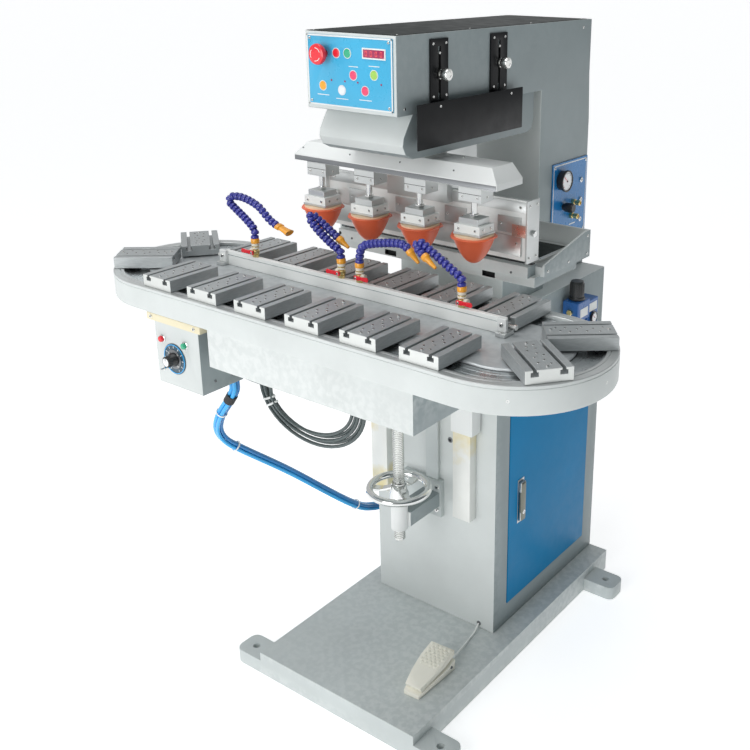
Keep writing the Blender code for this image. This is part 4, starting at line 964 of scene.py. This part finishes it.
def control_box():
    case = refined("control_box", "bright", 0.0025)
    case.recolour("board", lambda c, n: c.z > 0.9972)
    # Right-facing faces below the top take the darker case finish: painted shade on the side away from the light.
    case.recolour("case", lambda c, n: n.x > 0.7 and c.z < 0.997)
    case.screws([(-0.2525, CONTROL_FRONT - 0.003, 1.006), (-0.4, CONTROL_FRONT - 0.003, 1.006)], "-Y", 0.0045)
    case.screws([(-0.243, -0.56, 0.87), (-0.243, -0.51, 0.87)], "X", 0.0035, "dark steel")
    x, z = -0.33, 0.916
    y = CONTROL_FRONT
    disc = [(0.0372, 0.0), (0.0372, 0.0016), (0.0352, 0.0022), (0.0, 0.0022)]
    case.add(turned(disc, (x, y, z), "-Y", 64), "dial")
    ring = [(0.0355, 0.0021), (0.0355, 0.003), (0.0335, 0.003), (0.0335, 0.0021)]
    case.add(turned(ring, (x, y, z), "-Y", 64), "tube")
    case.add(turned([(0.0235, 0.0021), (0.0235, 0.0034), (0.0215, 0.004), (0, 0.004)], (x, y, z), "-Y", 48),
             "dark steel")
    for i in range(11):
        a = math.radians(-150 + 30 * i)
        at = spun((x, y - 0.0026, z), a, "Y")
        case.add(box((-0.0006, 0.0006), (-0.0004, 0.0004), (0.0262, 0.0318)), "glass", matrix=at)
    for i in range(4):
        a = math.radians(45 + 90 * i)
        case.screws([(x + 0.0195 * math.cos(a), y - 0.004, z + 0.0195 * math.sin(a))], "-Y", 0.0024)
    for lamp_x in (-0.368, -0.29):
        bezel = [(0.008, 0.0), (0.0098, 0.0), (0.0098, 0.002), (0.0084, 0.003), (0.0076, 0.0018)]
        case.add(turned(bezel, (lamp_x, y, 0.958), "-Y"), "chrome")
    switch = [(0.0056, 0), (0.0056, 0.003), (0.0046, 0.004), (0.0046, 0.008), (0, 0.008)]
    case.add(turned(switch, (-0.3635, y, 0.887), "-Y"), "chrome")
    tip = [(0.0018, 0.007), (0.0024, 0.015), (0.0022, 0.017), (0, 0.0174)]
    case.add(turned(tip, (-0.3635, y, 0.887), "-Y"), "chrome")
    gland = [(0.0045, 0), (0.0088, 0), (0.0088, 0.003), (0.007, 0.0045), (0.0045, 0.0045)]
    case.add(turned(gland, (-0.248, -0.49, 0.862), "X"), "black")
    case.build(LIFT, ["control_box"], "body_paint")
    knob = Piece("speed_knob_cap", 0.001)
    front = y - 0.0045
    body = [(0.016, 0), (0.0165, 0.002), (0.014, 0.009), (0.0128, 0.011), (0.012, 0.0218), (0.0108, 0.023)]
    knob.add(turned(body, (x, front, z), "-Y", 48), "black")
    facing = Matrix.Translation((x, front, z)) @ towards((0, -1, 0))
    knurl(knob, 18, (-0.0008, 0.0008), (0.0118, 0.0131), (0.011, 0.0215), facing, "black", 0.0004)
    cap = [(0.0108, 0.0216), (0.0104, 0.0228), (0.009, 0.0232), (0, 0.0234)]
    knob.add(turned(cap, (x, front, z), "-Y", 40), "glass")
    knob.add(box((-0.0006, 0.0006), (-0.0237, -0.0232), (0.003, 0.0095)), "painted_shade_and_dark_marks",
             matrix=Matrix.Translation((x, front, z)))
    knob.build("speed_dial", ["speed_knob"], "knob_black")
    for name, body_name, lamp_x, finish in (("stop_button", "stop_key", -0.368, "red"),
                                            ("start_button", "start_key", -0.29, "green")):
        low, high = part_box(name)
        lens = Piece(f"{name}_lens", 0.001)
        depth = high.y - low.y
        profile = [(0.0068, -depth), (0.0068, -0.002), (0.0058, -0.0006), (0.003, -0.0001), (0, 0)]
        lens.add(turned(profile, (lamp_x, low.y, 0.958), "-Y"), finish)
        lens.build(body_name, [name], "lever_red" if finish == "red" else "button_green")


# ---------------------------------------------------------------- head

def head():
    """The C-shaped housing with its dark top sheet, and the cover under its front."""
    shell = refined("head_housing", "bright", 0.003)
    for vert in shell.bm.verts:
        if vert.co.z > 1.641:
            vert.co.z = 1.64
    # The sides, back and underside take the darker case finish: painted shade on the faces turned away from the
    # light.
    shell.recolour("case", lambda c, n: abs(n.x) > 0.7 or n.y > 0.3)
    shell.recolour("case", lambda c, n: n.z < -0.5)
    shell.add(box((-0.1235, 0.1235), (HEAD_FRONT + 0.0025, 0.4475), (1.639, 1.6412)), "top", 0.0006)
    tops = [(x, y, 1.6409) for x in (-0.115, 0.115) for y in (-0.325, -0.07, 0.185, 0.435)]
    shell.screws(tops, "Z", 0.0018)
    shell.screws([(side * 0.126, y, z) for side in (-1, 1) for y, z in ((-0.318, 1.492), (0.425, 1.62))],
                 "X", 0.0035)
    shell.build(BODY, ["head_housing"], "body_paint", 3)
    cover = refined("front_cover", "bright", 0.0025)
    # The sides and underside take the darker case finish: painted shade on the faces turned away from the light.
    cover.recolour("case", lambda c, n: abs(n.x) > 0.7 or n.z < -0.8)
    for x in (-0.074, 0.074):
        tilt = Vector((0, -0.028, 0.012)).normalized()
        cover.add(turned([(0, 0.0014), (0.003, 0.0012), (0.0038, 0), (0.0038, -0.002)], (0, 0, 0), steps=18,
                         matrix=Matrix.Translation((x, -0.3, 1.435)) @ towards(tilt)), "dark steel")
    cover.build(BODY, ["front_cover"], "cover_paint", 3)


def seven_segment(piece, x, z, height, depth):
    """A lit zero of six bars, standing on the display."""
    width, bar = height * 0.55, height * 0.13
    half = height / 2
    for low, high in ((-half, -half + bar), (half - bar, half)):
        piece.add(box((x - width / 2, x + width / 2), (depth, depth + 0.0004), (z + low, z + high)), "digit")
    for left in (x - width / 2, x + width / 2 - bar):
        for low, high in ((-half + bar * 1.3, -bar * 0.3), (bar * 0.3, half - bar * 1.3)):
            piece.add(box((left, left + bar), (depth, depth + 0.0004), (z + low, z + high)), "digit")


def border(x, z, edge):
    """Ranges of X and Z for the four strips just inside a rectangle."""
    return (
        (x, (z[1] - edge, z[1])), (x, (z[0], z[0] + edge)), ((x[0], x[0] + edge), z), ((x[1] - edge, x[1]), z),
    )


def control_panel():
    face = PANEL_FRONT
    panel = refined("control_panel", "sky", 0.0008)
    for x, z in border((-0.1178, 0.1178), (1.4862, 1.6338), 0.003):
        panel.add(box(x, (face - 0.0003, face + 0.001), z), "white")
    panel.screws([(x, face, z) for x in (-0.109, 0.109) for z in (1.4945, 1.626)], "-Y", 0.0032)
    keys = ((-0.034, 1.598, "red"), (-0.003, 1.599, "green"), (0.012, 1.555, "pink"), (0.069, 1.559, "lime"),
            (-0.075, 1.528, "orange"), (-0.021, 1.522, "pale key"), (0.044, 1.525, "pink"))
    for x, z, finish in keys:
        ring = [(0.0108, 0.0), (0.0108, 0.0006), (0.0098, 0.0008), (0.0098, 0.0004)]
        panel.add(turned(ring, (x, face, z), "-Y", 40), "white")
        cap = [(0.0092, 0.0), (0.0092, 0.001), (0.008, 0.0016), (0.004, 0.0017), (0, 0.0017)]
        panel.add(turned(cap, (x, face, z), "-Y", 40), finish)
    for x in (-0.05, -0.012, 0.024, 0.088):
        panel.add(turned([(0.0022, 0.0), (0.002, 0.0008), (0, 0.0012)], (x, face, 1.541), "-Y", 16), "display")
    for low, high, z in ((-0.092, -0.058, 1.508), (-0.038, -0.004, 1.503), (0.027, 0.061, 1.505),
                         (0.0, 0.026, 1.572),
                         (0.055, 0.084, 1.576)):
        panel.add(box((low, high), (face - 0.0002, face + 0.001), (z, z + 0.0016)), "white")
    panel.add(box((0.0385, 0.1015), (face - 0.0014, face + 0.001), (1.5905, 1.613)), "white", 0.0005)
    panel.add(box((0.0415, 0.0985), (face - 0.0018, face + 0.001), (1.5935, 1.61)), "display", 0.0004)
    for i in range(4):
        seven_segment(panel, 0.05 + 0.0135 * i, 1.6017, 0.0105, face - 0.0022)
    panel.build(BODY, ["control_panel"], "panel_blue")
    low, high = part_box("emergency_stop")
    cap = Piece("stop_mushroom_cap", 0.001)
    length = high.y - low.y
    profile = [(0.0072, 0), (0.0072, length - 0.018), (0.013, length - 0.0165), (0.0207, length - 0.0125),
               (0.022, length - 0.01), (0.022, length - 0.0052), (0.0205, length - 0.0022),
               (0.0154, length - 0.0004), (0.012, length), (0, length)]
    cap.add(turned(profile, (-0.068, high.y, 1.595), "-Y", 56), "red")
    for turn in (0, 120, 240):
        arc = []
        for i in range(9):
            a = math.radians(turn + 20 + 9 * i)
            arc.append((math.cos(a), math.sin(a)))
        outline = [(0.0142 * c, 0.0142 * s) for c, s in arc] + [(0.0128 * c, 0.0128 * s) for c, s in reversed(arc)]
        mark = prism(outline, -0.0006, 0.0006, "XY")
        cap.add(mark, "white", matrix=Matrix.Translation((-0.068, low.y + 0.0005, 1.595)) @ towards((0, -1, 0)))
    cap.build("stop_mushroom", ["emergency_stop"], "lever_red")


def guard():
    plate = refined("guard_plate", "guard", 0.0008)
    face = HEAD_SIDE + 0.0043
    for middle in (-0.2025, 0.026):
        corners = [(face, middle + dy, z) for dy in (-0.0225, 0.0225) for z in (1.618, 1.508)]
        plate.screws([*corners, (face, middle, 1.598)], "X", 0.003)
    plate.screws([(HEAD_SIDE + 0.0233, y, 1.49) for y in (-0.225, 0.05)], "X", 0.003)
    plate.build("guard", ["guard_plate"], "guard_black")
    knobs = Piece("guard_knobs", 0.0006)
    for y, z in ((-0.2015, 1.554), (0.028, 1.561)):
        x = face + 0.0006
        # A near-black patch on the head side behind each knob: painted shade in the slot.
        knobs.add(box((HEAD_SIDE, HEAD_SIDE + 0.0002), (y - 0.014, y + 0.014), (1.514, 1.596)), "painted_shade_and_dark_marks")
        knob = [(0.0034, -0.0048), (0.0034, 0.0), (0.0104, 0.0), (0.0108, 0.0012), (0.0108, 0.0036),
                (0.0084, 0.0046),
                (0.0084, 0.0072), (0.012, 0.008), (0.0126, 0.0092), (0.0126, 0.0232), (0.0118, 0.0246),
                (0.0064, 0.025),
                (0.0058, 0.0242), (0, 0.0242)]
        knobs.add(turned(knob, (x, y, z), "X", 40), "screw")
        facing = Matrix.Translation((x, y, z)) @ towards((1, 0, 0))
        knurl(knobs, 28, (-0.0007, 0.0007), (0.0122, 0.0131), (0.0098, 0.0225), facing, "screw", 0.0003)
    knobs.build(BODY, slot="bright_steel")


def gauge(piece, x, y, z, radius, depth):
    """A pressure gauge facing +X: bezel, pale face, twelve ticks and a needle."""
    case = [(radius * 0.86, -0.001), (radius * 0.9, depth * 0.1), (radius * 0.9, depth * 0.62),
            (radius, depth * 0.7),
            (radius, depth * 0.96), (radius * 0.94, depth), (radius * 0.86, depth * 0.98),
            (radius * 0.86, depth * 0.86),
            (0, depth * 0.86)]
    piece.add(turned(case, (x, y, z), "X", 56), "black")
    face = x + depth * 0.86
    piece.add(turned([(0, 0.0006), (radius * 0.85, 0.0006), (radius * 0.85, 0)], (face, y, z), "X", 48), "glass")
    for i in range(31):
        a = math.radians(-135 + 9 * i)
        long = i % 5 == 0
        inner = radius * (0.62 if long else 0.7)
        tick = box((0, 0.0004), (-radius * 0.012, radius * 0.012), (inner, radius * 0.78))
        piece.add(tick, "red" if i > 24 and long else "painted_shade_and_dark_marks", matrix=spun((face + 0.0006, y, z), a, "X"))
    needle = box((0, 0.0005), (-radius * 0.022, radius * 0.022), (-radius * 0.15, radius * 0.66))
    piece.add(needle, "red", matrix=spun((face + 0.0012, y, z), math.radians(50), "X"))
    piece.add(turned([(0.0, 0.0022), (radius * 0.07, 0.0018), (radius * 0.08, 0)], (face + 0.0006, y, z), "X",
                     20), "painted_shade_and_dark_marks")


def side_fittings():
    """Blue side panel with a gauge, a knob and brass fittings; the air regulator hangs below it."""
    x = HEAD_SIDE + 0.0003
    panel = Piece("side_panel_sheet", 0.001)
    panel.add(box((x, x + 0.003), (0.289, 0.474), (1.066, 1.278)), "side", 0.0008)
    face = x + 0.003
    for y, z in border((0.2935, 0.4695), (1.0705, 1.2735), 0.003):
        panel.add(box((face - 0.001, face + 0.0002), y, z), "white")
    panel.screws([(face, y, z) for y in (0.3, 0.463) for z in (1.077, 1.267)], "X", 0.0034)
    gauge(panel, face, 0.334, 1.231, 0.029, 0.0208)
    knob = [(0.009, 0), (0.009, 0.006), (0.0122, 0.007), (0.0126, 0.009), (0.012, 0.03), (0.0106, 0.0325),
            (0, 0.0325)]
    panel.add(turned(knob, (face, 0.35, 1.156), "X", 40), "black")
    facing = Matrix.Translation((face, 0.35, 1.156)) @ towards((1, 0, 0))
    knurl(panel, 16, (-0.0008, 0.0008), (0.0116, 0.0128), (0.01, 0.029), facing, "black", 0.0004)
    for y, z in ((0.4, 1.16), (0.39, 1.125)):
        nut = [(0.0086, 0.0), (0.009, 0.0006), (0.009, 0.0078), (0.0078, 0.009)]
        panel.add(turned(nut, (face, y, z), "X", 6), "brass", 0.0006)
        stem = [(0.006, 0.008), (0.006, 0.013), (0.0074, 0.0136), (0.0074, 0.023), (0.0056, 0.0245),
                (0.0046, 0.0245),
                (0.0046, 0.021), (0, 0.021)]
        panel.add(turned(stem, (face, y, z), "X", 28), "brass")
    for y, z in ((0.44, 1.215), (0.44, 1.16), (0.44, 1.105)):
        ring = [(0.007, 0.0), (0.007, 0.003), (0.0056, 0.004), (0.0034, 0.004), (0.0034, 0.001), (0, 0.001)]
        panel.add(turned(ring, (face, y, z), "X", 28), "chrome")
    for y in (0.4, 0.33):
        panel.add(box((face - 0.001, face + 0.0002), (y - 0.016, y + 0.016), (1.098, 1.101)), "white")
    panel.build(BODY, ["side_panel"], "side_blue")

    x = PEDESTAL_HALF_X + 0.0003
    unit = Piece("air_regulator", 0.003)
    unit.add(box((x + 0.004, x + 0.052), (0.24, 0.304), (0.88, 0.934)), "regulator", 0.003)
    unit.add(box((x, x + 0.006), (0.25, 0.35), (0.86, 0.93)), "steel", 0.001)
    bowl = [(0.02, 0.884), (0.0235, 0.88), (0.0245, 0.872), (0.024, 0.836), (0.0205, 0.824), (0.01, 0.818),
            (0.007, 0.814), (0.007, 0.812), (0, 0.812)]
    unit.add(turned(bowl, (x + 0.028, 0.272, 0), steps=40), "side")
    half_step = spun((x + 0.028, 0.272, 0), math.pi / 6)
    knurl(unit, 6, (-0.003, 0.003), (0.0234, 0.0248), (0.838, 0.868), half_step, "glass", 0.0006)
    unit.add(turned([(0.02, 0.934), (0.022, 0.936), (0.022, 0.941), (0.0195, 0.943)], (x + 0.028, 0.272, 0)),
             "black")
    cap = [(0.0185, 0.942), (0.019, 0.944), (0.0186, 0.98), (0.0165, 0.985), (0, 0.985)]
    unit.add(turned(cap, (x + 0.028, 0.272, 0), steps=48), "black")
    centre = Matrix.Translation((x + 0.028, 0.272, 0))
    knurl(unit, 20, (-0.0011, 0.0011), (0.0178, 0.0197), (0.947, 0.979), centre, "black", 0.0006)
    unit.add(box((x + 0.006, x + 0.048), (0.302, 0.358), (0.846, 0.924)), "regulator", 0.004)
    unit.add(box((x + 0.0515, x + 0.0526), (0.252, 0.292), (0.89, 0.914)), "white", 0.0004)
    unit.add(box((x + 0.0475, x + 0.0486), (0.308, 0.35), (0.89, 0.914)), "white", 0.0004)
    gauge(unit, x + 0.046, 0.328, 0.872, 0.016, 0.0095)
    elbow = [(0.0075, 0), (0.0088, 0.001), (0.0088, 0.008), (0.007, 0.009)]
    unit.add(turned(elbow, (x + 0.028, 0.357, 0.905), "Y", 24), "black")
    unit.add(turned(elbow, (x + 0.028, 0.241, 0.905), "-Y", 6), "brass", 0.0005)
    unit.build(BODY, ["filter_regulator"], "regulator_blue")


# ---------------------------------------------------------------- printing

def ink_bed():
    bed = refined("ink_bed", "bright", 0.0016)
    # Right-facing faces take the darker case finish: painted shade on the side away from the light.
    bed.recolour("case", lambda c, n: n.x > 0.7)
    # Pocket walls on the front are made black and their backs near black: painted shade inside the pockets.
    bed.recolour("black", lambda c, n: 1.0755 < c.z < 1.0886 and c.y < -0.055 and abs(n.y) < 0.5 and c.y > -0.0725)
    bed.recolour("steel", lambda c, n: n.z > 0.7 and c.y > -0.045 and c.z < 1.118)
    for x in (-0.124, 0.176):
        bed.add(box((x - 0.0175, x + 0.0175), (-0.0612, -0.0602), (1.076, 1.088)), "painted_shade_and_dark_marks")
    bed.add(box((-0.289, 0.289), (-0.062, -0.049), (1.1214, 1.1238)), "black", 0.0008)
    for i in range(4):
        x = (i - 1.5) * PITCH
        bed.add(box((x - 0.058, x + 0.058), (-0.018, 0.136), (1.116, 1.1218)), "plate", 0.0012)
        bed.add(box((x - 0.046, x + 0.046), (0.0, 0.12), (1.1217, 1.1223)), "top", 0.0004)
        bed.screws([(x + dx, y, 1.1218) for dx in (-0.053, 0.053) for y in (-0.01, 0.128)], "Z", 0.0024)
    # Two near-black discs on the front: painted shade in holes.
    for x in (-0.285, 0.138):
        bed.add(turned([(0, 0.0006), (0.0042, 0.0005), (0.0046, -0.0006)], (x, -0.083, 1.11), "-Y", 20), "painted_shade_and_dark_marks")
    bed.screws([(x, -0.083, 1.1015) for x in (-0.245, -0.06, 0.06, 0.245)], "-Y", 0.003, "dark steel")
    bed.screws([(x, -0.0655, 1.1215) for x in (-0.27, -0.1, 0.1, 0.27)], "Z", 0.003)
    bed.screws([(0.315, y, z) for y, z in ((-0.035, 1.105), (0.06, 1.105), (0.15, 1.105), (0.15, 1.15))], "X",
               0.0032)
    bed.screws([(-0.315, y, z) for y, z in ((-0.035, 1.105), (0.06, 1.105), (0.15, 1.105), (0.15, 1.15))], "-X",
               0.0032)
    bed.build(BODY, ["ink_bed"], "body_paint")


def carriage():
    base = refined("pad_carriage", "plate", 0.0015)
    base.recolour("anodised", lambda c, n: n.y < -0.7 and c.z < 1.29)
    for i in range(4):
        x = (i - 1.5) * PITCH
        knob = [(0.004, 0.0), (0.004, 0.004), (0.01, 0.0045), (0.0108, 0.006), (0.0108, 0.014), (0.0096, 0.0155),
                (0.005, 0.016), (0, 0.016)]
        base.add(turned(knob, (x - 0.048, -0.1, 1.22), "-Y", 36), "chrome")
        blade = [(-0.1005, 1.15), (-0.1005, 1.196), (-0.1035, 1.196), (-0.106, 1.152)]
        base.add(prism(blade, x - 0.058, x + 0.058), "steel", 0.0006)
        base.screws([(x + dx, -0.1045, 1.18) for dx in (-0.046, 0.046)], "-Y", 0.003)
        base.add(box((x - 0.006, x + 0.056), (-0.103, -0.1), (1.202, 1.24)), "plate", 0.0008)
        base.screws([(x + 0.003, -0.103, 1.221), (x + 0.047, -0.103, 1.221)], "-Y", 0.0028)
    base.add(box((0.259, 0.299), (-0.105, -0.103), (1.196, 1.2235)), "copper", 0.0006)
    base.add(box((-0.296, 0.296), (-0.103, -0.1), (1.252, 1.276)), "plate", 0.001)
    base.screws([(x, -0.103, 1.264) for x in (-0.28, -0.15, 0.0, 0.15, 0.28)], "-Y", 0.0034)
    for side in (-1, 1):
        x = sorted((side * 0.3, side * 0.3045))
        base.add(box(x, (-0.112, -0.062), (1.138, 1.282)), "plate", 0.0012)
        axis = "X" if side > 0 else "-X"
        base.screws([(side * 0.3045, y, z) for y in (-0.102, -0.072) for z in (1.15, 1.27)], axis, 0.0034)
        base.add(turned([(0.0075, 0), (0.0075, 0.006), (0.006, 0.007), (0, 0.007)],
                        (side * 0.3045, -0.088, 1.205), axis), "chrome")
    for x in (-0.05, 0.05):
        ring = [(0.0112, 1.4225), (0.016, 1.4225), (0.016, 1.4275), (0.015, 1.429), (0.0112, 1.429),
                (0.0112, 1.4225)]
        base.add(turned(ring, (x, -0.17, 0), steps=36), "dark steel")
    base.build("carriage", ["pad_carriage"], "carriage_aluminium")


def pad_unit():
    beam = refined("pad_beam", "white", 0.001, angle=24)
    beam.recolour("chrome", lambda c, n: c.z > 1.37)
    beam.recolour("plate", lambda c, n: n.z < -0.7)
    beam.add(box((-0.2935, 0.2935), (-0.224, -0.2225), (1.324, 1.335)), "dark steel", 0.0004)
    beam.screws([(x, -0.2125, 1.3525) for x in (-0.275, -0.125, 0.025, 0.175)], "-Y", 0.0022, "dark steel")
    for x in (-0.15, 0.0, 0.15):
        beam.screws([(x, -0.14, 1.3675)], "Z", 0.0036)
    for x in (-0.05, 0.05):
        collar = [(0.0104, 1.3672), (0.0165, 1.3672), (0.0165, 1.3688), (0.0158, 1.3694), (0.0104, 1.3694),
                  (0.0104, 1.3672)]
        beam.add(turned(collar, (x, -0.17, 0), steps=36), "steel")
    beam.build("pad_unit", ["pad_beam"], "carriage_aluminium")
    for i in range(4):
        x, y = (i - 1.5) * PITCH, -0.205
        pad = Piece(f"print_pad_{i + 1}_body", 0.001)
        steps = (0, 0.01, 0.03, 0.06, 0.11, 0.18, 0.27, 0.38, 0.5, 0.64, 0.8, 0.92, 1.0)
        rubber = [(0.0465 * t**0.46, 1.1512 + 0.0588 * t) for t in steps]
        rubber += [(0.049, 1.2102), (0.0518, 1.211), (0.0522, 1.212), (0.0514, 1.2132), (0.046, 1.2138),
                   (0.0, 1.214)]
        lip = turned(rubber, (x, y, 0), steps=72)
        for vert in lip.verts:
            out = (abs(vert.co.x - x) - 0.044) / 0.008
            if vert.co.z > 1.2101 and out > 0:
                vert.co.z += 0.0055 * out**2
        pad.add(lip, "silicone")
        pad.add(turned([(0.0, 1.2136), (0.044, 1.2136), (0.0445, 1.2176), (0.0, 1.219)], (x, y, 0), steps=56),
                "wood")
        pad.add(box((x - 0.036, x + 0.036), (y - 0.03, y + 0.03), (1.2186, 1.2235)), "plate", 0.0008)
        pad.add(box((x - 0.034, x + 0.034), (y - 0.028, y + 0.028), (1.223, 1.242)), "anodised", 0.0012)
        pad.add(box((x - 0.026, x + 0.026), (y - 0.022, y + 0.022), (1.2415, 1.256)), "plate", 0.0012)
        pad.screws([(x + dx, y - 0.028, 1.2325) for dx in (-0.022, 0.022)], "-Y", 0.0034)
        pad.screws([(x + 0.034, y + dy, 1.2325) for dy in (-0.014, 0.014)], "X", 0.0034)
        pad.add(rod((x, y, 1.2735), 0.007, 0.038), "chrome", 0.0005)
        nut = [(0.011, 1.256), (0.0112, 1.2566), (0.0112, 1.262), (0.0104, 1.263)]
        pad.add(turned(nut, (x, y, 0), steps=6), "screw", 0.0006)
        top = 1.3232
        pad.add(box((x - 0.03, x + 0.03), (y - 0.018, y + 0.03), (top - 0.032, top)), "plate", 0.0012)
        pad.add(box((x - 0.0298, x + 0.0298), (y - 0.0184, y - 0.0176), (top - 0.015, top - 0.014)), "painted_shade_and_dark_marks")
        pad.screws([(x + dx, y - 0.018, top - 0.021) for dx in (-0.02, 0.02)], "-Y", 0.003)
        pad.screws([(x + 0.03, y + 0.006, top - 0.021)], "X", 0.003)
        pad.build("pad_unit", [f"print_pad_{i + 1}"], "pad_rubber")


def everything():
    air_tubes()
    cable()
    pedal_lead()
    stand()
    door()
    lift()
    foot_pedal()
    table()
    jigs()
    centre_bar()
    blow_off()
    control_box()
    head()
    control_panel()
    guard()
    side_fittings()
    ink_bed()
    carriage()
    pad_unit()


camera()
FINISH = finishes()
studio()
everything()
